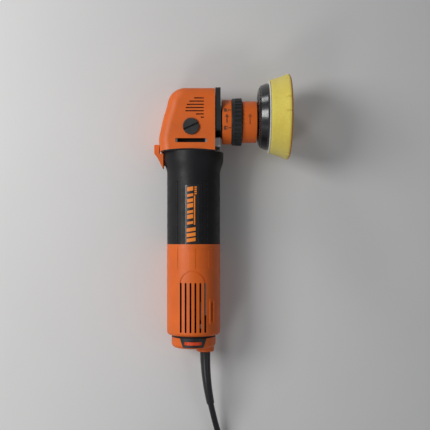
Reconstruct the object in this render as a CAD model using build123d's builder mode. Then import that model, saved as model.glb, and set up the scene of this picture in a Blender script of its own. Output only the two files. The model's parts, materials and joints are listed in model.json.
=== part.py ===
from build123d import *

import os
from math import asin, atan, atan2, cos, degrees, hypot, pi, radians, sin, sqrt, tan

# Dual action polisher, in millimetres. Every machine piece is drawn in the machine's own axes:
# X runs along the spindle towards the pad, Y along the barrel towards the head, Z out of the side,
# and the two axes cross at the origin. At the end each piece is laid down as the tool lies at rest:
# on its side, rolled about the barrel until the pad's rim and the barrel both touch the floor.

# ---- driving dimensions -------------------------------------------------------------------------
orbit_throw = 12.0            # diameter of the pad's orbit
eccentric = orbit_throw / 2
body_reach = 32.0             # half depth of the collar and of the rear shell, what the tool lies on
collar_half_x = 34.4
barrel_half_x, barrel_half_z = 30.6, 31.2
shell_half_x = 30.8
head_half_z = 27.7            # half width of the gear head's cover
head_top = 36.2
mouth_x = 24.7                # pad side face of the gear head
joint_y = -36.0               # plane where gear head and motor housing meet
shell_front_y = -141.5
shell_rear_y = -245.5
cap_front_y = -248.0
cap_rear_y = -260.2
cover_wall = 2.4
case_wall = 4.0
case_inset = cover_wall + 0.3
housing_wall = 2.6
shell_wall = 2.4
pad_radius = 49.0
pad_back_x, pad_face_x = 87.4, 111.0
pad_corner = 3.0              # rounding of the pad's working edge
pad_back_radius, pad_flare = 42.0, 0.3486     # the foam's side widens by the flare for each mm of depth
gland_x = 13.4
boot_length = 62.5
cord_radius = 3.5
running_gap = 0.05

# ---- resting attitude ---------------------------------------------------------------------------
rim_x, rim_r = pad_face_x - pad_corner, pad_radius - pad_corner
roll = degrees(atan2(rim_r, rim_x) - asin((body_reach - pad_corner) / hypot(rim_x, rim_r)))

spindle_axis, barrel_axis = Axis.X, Axis.Y
pad_axis = Axis((0, eccentric, 0), (1, 0, 0))
pieces = []                   # machine pieces, in the machine's axes
cord_pieces = []              # cord pieces, drawn straight in the resting frame


def keep(part, label, group=pieces):
    """Names a finished piece and puts it on the list of those to write."""
    part.label = label
    group.append(part)


def across(y):
    """The plane across the barrel at height y: local x is X, local y is Z, facing -Y."""
    return Plane.XZ.offset(-y)


def along(x, y=0.0):
    """The plane across the spindle at x, centred on height y: local x is Y, local y is Z."""
    return Plane(origin=(x, y, 0), x_dir=(0, 1, 0), z_dir=(1, 0, 0))


def turned(profile, axis=spindle_axis):
    """A piece turned about the spindle or pad axis (x, radius) or about the barrel (y, radius)."""
    points = [(r, y) for y, r in profile] if axis is barrel_axis else profile
    if axis is pad_axis:
        points = [(x, r + eccentric) for x, r in profile]
    with BuildPart() as piece:
        with BuildSketch(Plane.XY):
            with BuildLine():
                Polyline(*points, close=True)
            make_face()
        revolve(axis=axis)
    return piece.part


def bearing(at, width, outer, shaft_radius, axis=spindle_axis):
    """A ball bearing: one ring, with a recess on each face between its two races."""
    bore = shaft_radius + running_gap
    step, race = 0.6, (outer - bore) * 0.3
    return turned([
        (at, bore), (at, bore + race), (at + step, bore + race), (at + step, outer - race),
        (at, outer - race), (at, outer), (at + width, outer), (at + width, outer - race),
        (at + width - step, outer - race), (at + width - step, bore + race),
        (at + width, bore + race), (at + width, bore),
    ], axis)


def screw(plane, shank_length, shank_radius, head_radius, head_height, driver):
    """A screw whose head sits on the plane and whose shank runs against the plane's normal."""
    with BuildPart() as body:
        with BuildSketch(plane):
            Circle(head_radius)
        extrude(amount=head_height)
        with BuildSketch(plane.offset(head_height)):
            Rectangle(driver, driver / 4)
            Rectangle(driver / 4, driver)
        extrude(amount=-head_height * 0.6, mode=Mode.SUBTRACT)
        with BuildSketch(plane):
            Circle(shank_radius)
        extrude(amount=-shank_length)
    return body.part


def sector(plane, inner, outer, middle, half_angle):
    """A sketch of an arc of ring, half_angle each side of the middle direction, in degrees."""
    with BuildSketch(plane) as arc:
        Circle(outer)
        Circle(inner, mode=Mode.SUBTRACT)
        far = [(0, 0)]
        for share in (-1, -0.5, 0, 0.5, 1):
            angle = radians(middle + share * half_angle)
            far.append((2.5 * outer * cos(angle), 2.5 * outer * sin(angle)))
        Polygon(*far, align=None, mode=Mode.INTERSECT)
    return arc.sketch


def skin(outline, half_x, half_z, depth, proud=0.0, both=True):
    """The outline laid on the barrel's oval surface, from depth below it to proud above it."""
    with BuildPart() as layer:
        with BuildSketch(across(0)):
            Ellipse(half_x + proud, half_z + proud)
            Ellipse(half_x - depth, half_z - depth, mode=Mode.SUBTRACT)
        extrude(amount=270)
        extrude(outline, amount=50, both=both, mode=Mode.INTERSECT)
    return layer.part


def ring_marks(outline, radius, proud):
    """The outline raised on a ring round the spindle, on the side that faces +Z."""
    with BuildPart() as marks:
        with BuildSketch(along(20)):
            Circle(radius + proud)
            Circle(radius - 0.3, mode=Mode.SUBTRACT)
        extrude(amount=60)
        extrude(outline, amount=50, mode=Mode.INTERSECT)
    return marks.part


# ---- gear head ----------------------------------------------------------------------------------
head_corner = 20.0            # radius of the head's back top corner
head_edge = 12.0              # rounding between the head's sides and its back
corner_x = -9.3
plug_x, plug_y, plug_radius = -2.2, -8.9, 9.3
window_y, window_length, window_height = -24.5, 35.3, 4.8
bearing_wall_y = -21.0        # front of the gear case's wall round the motor shaft
slider_travel = 7.0
slider_half_z = 7.0
foot_notch_y = joint_y + slider_travel + 1.0
flange_screws = [(x, z) for x in (21.4, -23.4) for z in (17.5, -17.5)]
cap_screws = [(y, z) for y, z in ((26, 17.5), (-8.5, 20.2)) for z in (z, -z)]


def head_form(inset, mouth=0.0):
    """The gear head's rounded block, inset all round but for its two open faces."""
    front_x, low_y = mouth_x + mouth, joint_y - mouth
    back = [(-33.6 + inset, 3.5), (-37.2 + inset, -12), (-39.0 + inset, -23)]
    with BuildPart() as form:
        with BuildSketch(Plane.XY):
            with BuildLine():
                top = Line((front_x, head_top - inset), (corner_x, head_top - inset))
                corner = JernArc(top @ 1, (-1, 0), head_corner - inset, 80)
                spine = Spline(
                    corner @ 1, *back, (-37.6 + inset, low_y), tangents=[corner % 1, (0.1, -1)]
                )
                Line(spine @ 1, (front_x, low_y))
                Line((front_x, low_y), top @ 0)
            make_face()
        extrude(amount=head_half_z - inset, both=True)
        sides = form.faces().sort_by(Axis.Z)
        rims = sides[0].edges() + sides[-1].edges()
        at_mouth = rims.filter_by_position(Axis.X, front_x - 0.01, front_x + 0.01)
        at_joint = rims.filter_by_position(Axis.Y, low_y - 0.01, low_y + 0.01)
        fillet([e for e in rims if e not in at_mouth + at_joint], head_edge - inset)
    return form.part


def vent_rows():
    """Middle and length of each side vent: the rows fill a round field and clear the side plug."""
    right = 12.4
    for row in range(7):
        y = 22.9 - 3.6 * row
        if row < 5:
            left = 6.6 - sqrt(15.4**2 - (y - 8.5) ** 2)
        else:
            left = plug_x + sqrt(14.8**2 - (y - plug_y) ** 2)
        yield (left + right) / 2, y, right - left


arch_x, arch_rise, arch_radius, arch_side_z = -4.0, 2.5, 232.0, 18.0
with BuildPart() as arch_zone:                   # room under the arches of the cover's lower edge
    for side in (1, -1):
        with BuildSketch(Plane.XY.offset(side * arch_side_z)):
            with Locations((arch_x, joint_y + arch_rise - arch_radius)):
                Circle(arch_radius)
        extrude(amount=side * 20)

with BuildPart() as gear_cover:
    add(head_form(0))
    add(head_form(cover_wall, mouth=2.0), mode=Mode.SUBTRACT)
    with BuildSketch(Plane.XY):
        for x, y, length in vent_rows():
            with Locations((x, y)):
                SlotOverall(length, 1.5)
        with Locations((plug_x, window_y)):
            RectangleRounded(window_length, window_height, 0.6)
        with Locations((plug_x, plug_y)):
            Circle(plug_radius - 1.3)
    extrude(amount=head_half_z + 1, both=True, mode=Mode.SUBTRACT)
    # four slots across the head's front end
    with BuildSketch(across(head_top + 1)):
        for x in (-7.0, -0.7, 5.6, 11.9):
            with Locations((x, 0)):
                SlotOverall(27, 2.6, rotation=90)
    extrude(amount=5, mode=Mode.SUBTRACT)
    # notch that the switch slider's foot runs in
    with BuildSketch(along(-42)):
        with Locations(((joint_y - 2 + foot_notch_y) / 2, 0)):
            Rectangle(foot_notch_y - joint_y + 2, 2 * slider_half_z + 1.6)
    extrude(amount=8, mode=Mode.SUBTRACT)
    add(arch_zone.part, mode=Mode.SUBTRACT)
keep(gear_cover.part, "gear_cover")

with BuildPart() as gear_cavity:
    add(head_form(case_inset + case_wall, mouth=2.0))
    split(bisect_by=Plane.XZ.offset(-bearing_wall_y), keep=Keep.BOTTOM)

with BuildPart() as gear_case:
    add(head_form(case_inset))
    add(gear_cavity.part, mode=Mode.SUBTRACT)
    # foot that stands out past the cover on the pad side
    with BuildSketch(along(mouth_x - 4, -25.4)):
        RectangleRounded(12.2, 40, 3)
    extrude(amount=10.8)
    fillet(gear_case.faces().sort_by(Axis.X)[-1].edges(), 2.0)
    # boss for the spindle's end bearing
    with BuildSketch(along(-27)):
        Circle(13.4)
    extrude(amount=11)
    with BuildSketch(along(-25)):
        Circle(11)
    extrude(amount=12, mode=Mode.SUBTRACT)
    # bosses for the bearing cap's screws, and pads round the side plugs' threads
    with BuildSketch(along(13)):
        with Locations(*cap_screws):
            Circle(4.2)
    extrude(amount=mouth_x - 13)
    with BuildSketch(along(13)):
        with Locations(*cap_screws):
            Circle(1.5)
    extrude(amount=mouth_x - 13, mode=Mode.SUBTRACT)
    for side in (1, -1):
        with BuildSketch(Plane.XY.offset(side * 19.4)):
            with Locations((plug_x, plug_y)):
                Circle(9.5)
        extrude(amount=side * 3)
    with BuildSketch(Plane.XY):
        with Locations((plug_x, plug_y)):
            Circle(6.0)
    extrude(amount=30, both=True, mode=Mode.SUBTRACT)
    # way through for the motor shaft, and its front bearing's seat
    with BuildSketch(across(bearing_wall_y + 1)):
        Circle(9.4)
    extrude(amount=16, mode=Mode.SUBTRACT)
    with BuildSketch(across(-24)):
        Circle(13)
    extrude(amount=14, mode=Mode.SUBTRACT)
    # exhaust channels from the fan to the side windows
    with BuildSketch(across(joint_y - 1)):
        with Locations((plug_x, 18), (plug_x, -18)):
            Rectangle(window_length - 4, 7)
    extrude(amount=-(window_y + 3.4 - joint_y + 1), mode=Mode.SUBTRACT)
    for side in (1, -1):
        with BuildSketch(Plane.XY.offset(side * 15)):
            with Locations((plug_x, window_y)):
                Rectangle(window_length - 4, window_height + 1.2)
        extrude(amount=side * 15, mode=Mode.SUBTRACT)
    # holes for the flange screws, with room for their heads
    with BuildSketch(across(-15)):
        with Locations(*flange_screws):
            Circle(3.8)
    extrude(amount=10, mode=Mode.SUBTRACT)
    with BuildSketch(across(-25)):
        with Locations(*flange_screws):
            Circle(2.1)
    extrude(amount=14, mode=Mode.SUBTRACT)
    # tapped holes for the bearing retainer, and the slider's notch
    with BuildSketch(across(-29)):
        with Locations((17.5, 0), (-17.5, 0)):
            Circle(1.45)
    extrude(amount=10, mode=Mode.SUBTRACT)
    with BuildSketch(along(-42)):
        with Locations(((joint_y - 2 + foot_notch_y) / 2, 0)):
            Rectangle(foot_notch_y - joint_y + 2, 2 * slider_half_z + 1.6)
    extrude(amount=15, mode=Mode.SUBTRACT)
keep(gear_case.part, "gear_case")

with BuildPart() as side_plugs:
    for side in (1, -1):
        seat = Plane(origin=(plug_x, plug_y, side * head_half_z), x_dir=(1, 0, 0), z_dir=(0, 0, side))
        with BuildSketch(seat):
            Circle(plug_radius)
        extrude(amount=2.3)
        with BuildSketch(seat.offset(-2.7)):
            Circle(plug_radius - 1.5)
        extrude(amount=2.7)
        with BuildSketch(seat.offset(-8)):
            Circle(5.95)
        extrude(amount=5.3)
    chamfer(side_plugs.edges().filter_by(GeomType.CIRCLE).group_by(Axis.Z)[-1], 0.6)
    chamfer(side_plugs.edges().filter_by(GeomType.CIRCLE).group_by(Axis.Z)[0], 0.6)
    for side in (1, -1):
        with BuildSketch(Plane.XY.offset(side * (head_half_z + 0.8))):
            with Locations((plug_x, plug_y)):
                Rectangle(2 * plug_radius + 1, 2.4, rotation=24)
        extrude(amount=side * 2, mode=Mode.SUBTRACT)
keep(side_plugs.part, "side_plugs")

# ---- neck and lock ring -------------------------------------------------------------------------
neck_start_x, neck_end_x, neck_radius = 33.0, 43.8, 25.5
spigot_radius, spigot_end_x = 19.5, 54.0
lock_start_x, lock_end_x = 44.1, 55.4
clip_x, clip_width = 46.15, 1.1
lug_x, lug_width, lug_count, lug_half_angle = 49.6, 2.0, 3, 15
lock_turn = 40                # degrees from locked to free

with BuildPart() as bearing_cap:
    with BuildSketch(along(mouth_x + 0.3)):
        with Locations(((head_top - 13.4) / 2, 0)):
            RectangleRounded(head_top + 13.4, 52, 5)
        Circle(19)
    extrude(amount=6)
    with BuildSketch(along(19)):
        Circle(17.2)
    extrude(amount=mouth_x + 0.3 - 19)
    with BuildSketch(along(31)):
        Circle(spigot_radius)
    extrude(amount=spigot_end_x - 31)
    with BuildSketch(along(33)):
        Circle(17)
    extrude(amount=spigot_end_x - 33, mode=Mode.SUBTRACT)
    with BuildSketch(along(19)):
        Circle(14)
    extrude(amount=10, mode=Mode.SUBTRACT)
    with BuildSketch(along(19)):
        Circle(11)
    extrude(amount=15, mode=Mode.SUBTRACT)
    with BuildSketch(along(24)):
        with Locations(*cap_screws):
            Circle(1.6)
    extrude(amount=8, mode=Mode.SUBTRACT)
    with BuildSketch(along(29)):
        with Locations(*cap_screws):
            Circle(3.0)
    extrude(amount=3, mode=Mode.SUBTRACT)
    with BuildSketch(along(clip_x - 0.05)):
        Circle(spigot_radius + 1)
        Circle(spigot_radius - 0.7, mode=Mode.SUBTRACT)
    extrude(amount=clip_width + 0.1, mode=Mode.SUBTRACT)
keep(bearing_cap.part, "bearing_cap")

# a closed padlock at the locked tick, an open one at the free tick, and an arrow between them
with BuildSketch() as neck_marks:
    for y in (-10.0, 10.0):
        with Locations((neck_end_x - 2.0, y)):
            Rectangle(2.6, 1.2)
        with Locations((neck_start_x + 3.2, y)):
            RectangleRounded(3.0, 4.4, 0.5)
        with Locations((neck_start_x + 4.9 + (0.7 if y > 0 else 0), y)):
            Circle(1.7)
            Circle(0.9, mode=Mode.SUBTRACT)
    with Locations((neck_start_x + 5.0, -1)):
        Rectangle(1.4, 7)
    with Locations((neck_start_x + 5.0, 3.8)):
        Triangle(c=4.6, B=60, C=60, align=(Align.CENTER, Align.CENTER))

with BuildPart() as neck_ring:
    with BuildSketch(along(neck_start_x)):
        Circle(neck_radius)
        Circle(spigot_radius + 0.02, mode=Mode.SUBTRACT)
    extrude(amount=neck_end_x - neck_start_x)
    chamfer(neck_ring.edges().filter_by(GeomType.CIRCLE).sort_by(SortBy.RADIUS)[-2:], 0.5)
    add(ring_marks(neck_marks.sketch, neck_radius, 0.25))
keep(neck_ring.part, "neck_ring")

with BuildPart() as lock_clip:
    with BuildSketch(along(clip_x)):
        Circle(21.2)
        Circle(spigot_radius - 0.65, mode=Mode.SUBTRACT)
        with Locations((0, -20)):
            Rectangle(8, 6, mode=Mode.SUBTRACT)
    extrude(amount=clip_width)
keep(lock_clip.part, "lock_clip")

lock_lip = spigot_radius + 0.3
with BuildPart() as lock_ring:
    add(turned([
        (lock_start_x, lock_lip), (lock_start_x, 26.4), (lock_start_x + 0.7, 26.9),
        (lock_end_x - 0.7, 27.3), (lock_end_x, 26.8), (lock_end_x, 22.3), (52.2, 22.3),
        (52.2, 24.0), (49.2, 24.0), (49.2, 22.3), (45.9, 22.3), (45.9, lock_lip),
    ]))
    # grip recesses, open towards the pad
    with BuildSketch(along(lock_start_x + 3.4)):
        with PolarLocations(27.6, 34):
            RectangleRounded(3.2, 2.9, 0.5)
    extrude(amount=12, mode=Mode.SUBTRACT)
    # ways in for the orbit head's lugs, reached when the ring is turned free
    for lug in range(lug_count):
        way = sector(along(52), 20, 24.0, 120 * lug - lock_turn, lug_half_angle + 2)
        extrude(way, amount=4, mode=Mode.SUBTRACT)
keep(lock_ring.part, "lock_ring")

# ---- orbit head ---------------------------------------------------------------------------------
head_radius, head_start_x, head_end_x = 23.8, 55.8, 72.7
head_bearing_x, head_bearing_width, head_bearing_outer, head_bearing_bore = 57.0, 7.0, 16.0, 10.0
with BuildSketch() as head_marks:                # arrow for the way the pad turns
    with Locations((64.2, -1.5)):
        Rectangle(1.6, 9)
    with Locations((64.2, 4.6)):
        Triangle(c=5.0, B=60, C=60, align=(Align.CENTER, Align.CENTER))

with BuildPart() as head_housing:
    add(turned([
        (47.6, spigot_radius + 0.03), (47.6, 22.0), (head_start_x, 22.0), (head_start_x, head_radius),
        (head_end_x, head_radius), (head_end_x, 21.4), (64.4, 21.4), (64.4, head_bearing_outer),
        (head_bearing_x, head_bearing_outer), (head_bearing_x, 12.5), (54.6, 12.5),
        (54.6, spigot_radius + 0.03),
    ]))
    chamfer(head_housing.edges().filter_by(GeomType.CIRCLE).sort_by(SortBy.RADIUS)[-2:], 0.5)
    for lug in range(lug_count):
        tooth = sector(along(lug_x), 21.5, 23.7, 120 * lug, lug_half_angle)
        extrude(tooth, amount=lug_width)
    add(ring_marks(head_marks.sketch, head_radius, 0.2))
keep(head_housing.part, "head_housing")

keep(bearing(head_bearing_x, head_bearing_width, head_bearing_outer, head_bearing_bore), "head_bearing")
keep(bearing(21, 8, 14, 6), "spindle_bearing")
keep(bearing(-25, 7, 11, 4), "spindle_end_bearing")

# ---- spindle, bevel gears and eccentric ---------------------------------------------------------
module = 1.1
pinion_teeth, wheel_teeth = 11, 33
pinion_pitch, wheel_pitch = module * pinion_teeth / 2, module * wheel_teeth / 2
tooth_face = 6.0
cone = hypot(pinion_pitch, wheel_pitch)
inner_share = (cone - tooth_face) / cone          # teeth shrink to this share towards the apex
tooth_tip, tooth_root = atan(0.8 * module / cone), atan(1.15 * module / cone)
tooth_half = pi * module / 4 * 0.78               # half thickness at the pitch line
wheel_angle = atan2(wheel_pitch, pinion_pitch)
pinion_angle = pi / 2 - wheel_angle


def wheel_tooth():
    """One tooth of the bevel wheel, at Y = -pitch radius, narrowing towards the gears' apex."""
    tip_x = wheel_pitch / tan(wheel_angle + tooth_tip)
    root_x = wheel_pitch / tan(wheel_angle - tooth_root) + 0.5
    flank = tan(radians(20))
    tip_half = tooth_half - (pinion_pitch - tip_x) * flank
    root_half = tooth_half + (root_x - pinion_pitch) * flank
    with BuildPart() as tooth:
        for share in (1.0, inner_share):
            with BuildSketch(across(-wheel_pitch * share)):
                Polygon(
                    (tip_x * share, -tip_half * share), (tip_x * share, tip_half * share),
                    (root_x * share, root_half * share), (root_x * share, -root_half * share),
                    align=None,
                )
        loft(ruled=True)
    return tooth.part


hub_end_x = 19.0
with BuildPart() as bevel_gear:
    root_outer = wheel_pitch / tan(wheel_angle - tooth_root)
    add(turned([
        (4.5, 6.0), (4.5, 9.5), (root_outer * inner_share, wheel_pitch * inner_share),
        (root_outer, wheel_pitch), (10.5, wheel_pitch + 0.3), (12.5, 16.5), (12.5, 10),
        (hub_end_x, 10), (hub_end_x, 6.0),
    ]))
    for tooth in range(wheel_teeth):
        add(wheel_tooth().rotate(Axis.X, 360 * tooth / wheel_teeth))
keep(bevel_gear.part, "bevel_gear")

with BuildPart() as pinion_gear:
    for share in (1.0, inner_share):
        y = wheel_pitch * share
        tip = y * tan(pinion_angle + tooth_tip)
        root = y * tan(pinion_angle - tooth_root)
        pitch = pinion_pitch * share
        outline = []
        for tooth in range(pinion_teeth):
            # half a tooth pitch on, so that a gap faces the wheel's tooth
            middle = 2 * pi * (tooth + 0.5) / pinion_teeth
            for radius, half in ((root, 1.35), (pitch, 1.0), (tip, 0.42)):
                outline.append((radius, middle - half * tooth_half * share / radius))
            for radius, half in ((tip, 0.42), (pitch, 1.0), (root, 1.35)):
                outline.append((radius, middle + half * tooth_half * share / radius))
        with BuildSketch(across(-y)):
            Polygon(*[(r * cos(a), r * sin(a)) for r, a in outline], align=None)
    loft(ruled=True)
    with BuildSketch(across(-wheel_pitch * inner_share + 1)):
        Circle(2.2)
    extrude(amount=tooth_face + 2, mode=Mode.SUBTRACT)
keep(pinion_gear.part, "pinion_gear")

keep(turned([
    (-24.9, 0), (-24.9, 4), (-17.5, 4), (-17.5, 5), (4.5, 5), (4.5, 6), (29.2, 6), (29.2, 8.5),
    (33, 8.5), (33, 6.9), (49, 6.9), (50, 6), (50, 0),
]), "spindle_shaft")

drive_start_x, drive_end_x = 34.0, 72.2
drive_disc_x, drive_disc_radius = 64.9, 17.7
orbit_bearing_x, orbit_bearing_width, orbit_bearing_outer, orbit_bearing_bore = 66.2, 6.0, 11.0, 5.0
with BuildPart() as orbit_drive:
    add(turned([
        (drive_start_x, 6.9), (drive_start_x, 10), (64.3, 10), (64.3, 11.4), (drive_disc_x, 11.4),
        (drive_disc_x, drive_disc_radius), (drive_end_x, drive_disc_radius), (drive_end_x, 0),
        (51, 0), (51, 6.9),
    ]))
    with BuildSketch(along(orbit_bearing_x, eccentric)):
        Circle(orbit_bearing_outer)
    extrude(amount=8, mode=Mode.SUBTRACT)
    with BuildSketch(along(orbit_bearing_x - 1.2, eccentric)):
        Circle(7.5)
    extrude(amount=4, mode=Mode.SUBTRACT)
    # wrench flats on the sleeve
    with BuildSketch(along(drive_start_x + 2)):
        Rectangle(30, 30)
        Rectangle(17, 30, mode=Mode.SUBTRACT)
    extrude(amount=8, mode=Mode.SUBTRACT)
keep(orbit_drive.part, "orbit_drive")

with BuildPart() as counterweight:
    extrude(sector(along(drive_disc_x), drive_disc_radius, 20.8, 180, 72), amount=7.0)
keep(counterweight.part, "counterweight")

keep(bearing(orbit_bearing_x, orbit_bearing_width, orbit_bearing_outer, orbit_bearing_bore, pad_axis),
     "orbit_bearing")

# ---- pad ----------------------------------------------------------------------------------------
plate_front_x = 85.5
keep(turned([
    (65.3, 0), (65.3, orbit_bearing_bore), (72.3, orbit_bearing_bore), (72.3, 7.5), (73.4, 7.5),
    (73.4, 6), (82, 6), (82, 3), (67.5, 3), (67.5, 0),
], pad_axis), "pad_spindle")

with BuildPart() as backing_plate:
    add(turned([
        (73.4, 6.02), (73.4, 17.4), (74.6, 31.1), (77, 35.6), (84, 38.4), (plate_front_x, 38.0),
        (plate_front_x, 8.2), (82, 8.2), (82, 6.02),
    ], pad_axis))
    # pockets between the ribs of the plate's back
    with BuildSketch(along(72, eccentric)):
        with PolarLocations(24.6, 20):
            RectangleRounded(9.2, 4.2, 0.8)
    extrude(amount=9, mode=Mode.SUBTRACT)
    with BuildSketch(along(72, eccentric)):
        with PolarLocations(33.3, 40):
            Rectangle(2.6, 2.6)
    extrude(amount=9, mode=Mode.SUBTRACT)
keep(backing_plate.part, "backing_plate")

keep(turned([
    (68.5, 0), (68.5, 2.95), (82, 2.95), (82, 8), (83.4, 8), (85, 6.4), (85, 3.2), (83.6, 3.2),
    (83.6, 0),
], pad_axis), "plate_screw")
keep(turned([(plate_front_x, 9), (plate_front_x, 37.6), (86.1, 37.6), (86.1, 9)], pad_axis), "hook_face")
keep(turned([(86.1, 0), (86.1, 42.0), (pad_back_x, 42.0), (pad_back_x, 0)], pad_axis), "loop_layer")

with BuildPart() as foam_pad:
    with BuildSketch(Plane.XY):
        with BuildLine():
            flared_radius = pad_back_radius + pad_flare * (pad_face_x - pad_back_x)
            outline = [
                (pad_back_x, pad_back_radius), (pad_face_x, flared_radius), (pad_face_x, 0), (pad_back_x, 0)
            ]
            Polyline(*[(x, r + eccentric) for x, r in outline], close=True)
        make_face()
        fillet([v for v in vertices() if v.X > pad_face_x - 1 and v.Y > pad_radius], pad_corner)
    revolve(axis=pad_axis)
keep(foam_pad.part, "foam_pad")

# ---- motor housing ------------------------------------------------------------------------------
collar_end_y, shoulder_end_y = -44.0, -60.0
fan_start_y, fan_end_y, fan_radius = -40.0, -49.0, 23.8
stator_start_y, stator_end_y, stator_radius, stator_flat_x = -55.0, -100.0, 27.0, 25.4
spider_start_y, spider_end_y = -122.2, -134.0
rod_x, rod_thick, rod_half_z = -27.1, 1.6, 3.0


def smooth(share):
    """0 to 1 with level ends."""
    return share * share * (3 - 2 * share)


def barrel_form(inset):
    """The motor housing's outside: an oval collar that flows down a shoulder into the barrel."""
    steps = 6
    with BuildPart() as form:
        with BuildSketch(across(joint_y)):
            Ellipse(collar_half_x - inset, body_reach - inset)
        extrude(amount=joint_y - collar_end_y)
        for step in range(steps + 1):
            share = smooth(step / steps)
            half_x = collar_half_x + (barrel_half_x - collar_half_x) * share - inset
            half_z = body_reach + (barrel_half_z - body_reach) * share - inset
            with BuildSketch(across(collar_end_y + (shoulder_end_y - collar_end_y) * step / steps)):
                Ellipse(half_x, half_z)
        loft()
        with BuildSketch(across(shoulder_end_y)):
            Ellipse(barrel_half_x - inset, barrel_half_z - inset)
        extrude(amount=shoulder_end_y - shell_front_y)
    return form.part


label_x, label_width, label_start_y = -1.0, 15.6, -74.8
with BuildSketch() as barrel_panels:
    for x, width, start_y in ((-15.5, 5, -69), (13, 6, -69), (label_x, label_width, label_start_y)):
        with Locations((x, (start_y + shell_front_y) / 2)):
            RectangleRounded(width, start_y - shell_front_y, 1.0)

with BuildPart() as joint_lip:                   # fills the arches of the gear cover's lower edge
    add(head_form(0.02))
    add(head_form(case_inset - 0.02, mouth=2.0), mode=Mode.SUBTRACT)
    add(arch_zone.part, mode=Mode.INTERSECT)

with BuildPart() as motor_housing:
    add(barrel_form(0))
    add(barrel_form(housing_wall), mode=Mode.SUBTRACT)
    add(joint_lip.part)
    add(skin(barrel_panels.sketch, barrel_half_x, barrel_half_z, 0.5, proud=1), mode=Mode.SUBTRACT)
    # ribs that hold the stator, front and back of the tool
    with BuildSketch(across(stator_start_y - 1)):
        Ellipse(barrel_half_x - housing_wall + 0.5, barrel_half_z - housing_wall + 0.5)
        Circle(stator_radius + 0.02, mode=Mode.SUBTRACT)
        Rectangle(24, 80, mode=Mode.INTERSECT)
    extrude(amount=stator_start_y - stator_end_y - 2)
    # spider that holds the rear bearing
    with BuildSketch(across(spider_start_y)):
        Rectangle(18, 80)
        Ellipse(barrel_half_x - housing_wall + 0.5, barrel_half_z - housing_wall + 0.5,
                mode=Mode.INTERSECT)
        Circle(12.5)
    extrude(amount=spider_start_y - spider_end_y)
    with BuildSketch(across(spider_start_y + 1)):
        Circle(7)
    extrude(amount=20, mode=Mode.SUBTRACT)
    with BuildSketch(across(-126)):
        Circle(9.5)
    extrude(amount=9, mode=Mode.SUBTRACT)
    # spigot that the rear shell slides over
    with BuildSketch(across(shell_front_y + 4)):
        Ellipse(shell_half_x - shell_wall - 0.1, body_reach - shell_wall - 0.1)
        Ellipse(shell_half_x - shell_wall - 2, body_reach - shell_wall - 2, mode=Mode.SUBTRACT)
    extrude(amount=12)
    # bosses for the gear case's screws
    with BuildSketch(across(joint_y)):
        with Locations(*flange_screws):
            Circle(3.6)
        Circle(fan_radius + 0.8, mode=Mode.SUBTRACT)
        Ellipse(collar_half_x - 1, body_reach - 1, mode=Mode.INTERSECT)
    extrude(amount=13)
    with BuildSketch(across(joint_y + 1)):
        with Locations(*flange_screws):
            Circle(1.95)
    extrude(amount=14, mode=Mode.SUBTRACT)
    # slot for the switch slider's foot, and the notch in the spigot for its rod
    with BuildSketch(along(-36)):
        with Locations(((joint_y + 1 - 52.5) / 2, 0)):
            Rectangle(joint_y + 1 + 52.5, 2 * rod_half_z + 0.8)
    extrude(amount=12, mode=Mode.SUBTRACT)
    with BuildSketch(along(barrel_half_x * -1 + housing_wall)):
        with Locations((shell_front_y - 3, 0)):
            Rectangle(16, 2 * rod_half_z + 2)
    extrude(amount=4.5, mode=Mode.SUBTRACT)
keep(motor_housing.part, "motor_housing")

with BuildSketch() as label_outline:
    with Locations((label_x, (label_start_y + shell_front_y) / 2)):
        RectangleRounded(label_width - 0.3, label_start_y - shell_front_y - 0.6, 0.8)

keep(skin(label_outline.sketch, barrel_half_x, barrel_half_z, 0.5, proud=-0.1), "label_plates")

# ---- motor --------------------------------------------------------------------------------------
keep(bearing(-32, 8, 13, 5, barrel_axis), "front_motor_bearing")
keep(bearing(-132, 6, 9.5, 3.5, barrel_axis), "rear_motor_bearing")

with BuildPart() as bearing_retainer:
    with BuildSketch(across(-32)):
        Circle(12.9)
        Circle(9.5, mode=Mode.SUBTRACT)
    extrude(amount=4)
    with BuildSketch(across(joint_y)):
        RectangleRounded(43, 13, 3)
        Circle(9.5, mode=Mode.SUBTRACT)
        with Locations((17.5, 0), (-17.5, 0)):
            Circle(1.7, mode=Mode.SUBTRACT)
    extrude(amount=1.5)
keep(bearing_retainer.part, "bearing_retainer")

with BuildPart() as air_baffle:
    with BuildSketch(across(-50)):
        Circle(27.7)
        Circle(17.5, mode=Mode.SUBTRACT)
    extrude(amount=1.4)
    with BuildSketch(across(-51.4)):
        Circle(26.8)
        Circle(25.6, mode=Mode.SUBTRACT)
    extrude(amount=-51.4 - stator_start_y)
    with BuildSketch(across(-49)):
        with Locations((-26.5, 0)):
            Rectangle(4, 2 * rod_half_z + 1.2)
    extrude(amount=8, mode=Mode.SUBTRACT)
keep(air_baffle.part, "air_baffle")

bore_radius, slot_inner, slot_outer = 16.8, 18.7, 22.6
pole_half_angle, shoe_half_angle = 30, 62
with BuildPart() as stator_core:
    with BuildSketch(across(stator_start_y)):
        Circle(stator_radius)
        Rectangle(2 * stator_flat_x, 80, mode=Mode.INTERSECT)
        Circle(bore_radius, mode=Mode.SUBTRACT)
    extrude(amount=stator_start_y - stator_end_y)
    for side in (0, 180):
        for turn in (-1, 1):
            middle = 90 + side + turn * (pole_half_angle + 90) / 2
            gap = sector(across(stator_start_y), slot_inner, slot_outer, middle, 30)
            extrude(gap, amount=stator_start_y - stator_end_y, mode=Mode.SUBTRACT)
        between = sector(across(stator_start_y), bore_radius - 1, slot_outer, side, 90 - shoe_half_angle)
        extrude(between, amount=stator_start_y - stator_end_y, mode=Mode.SUBTRACT)
keep(stator_core.part, "stator_core")

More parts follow.
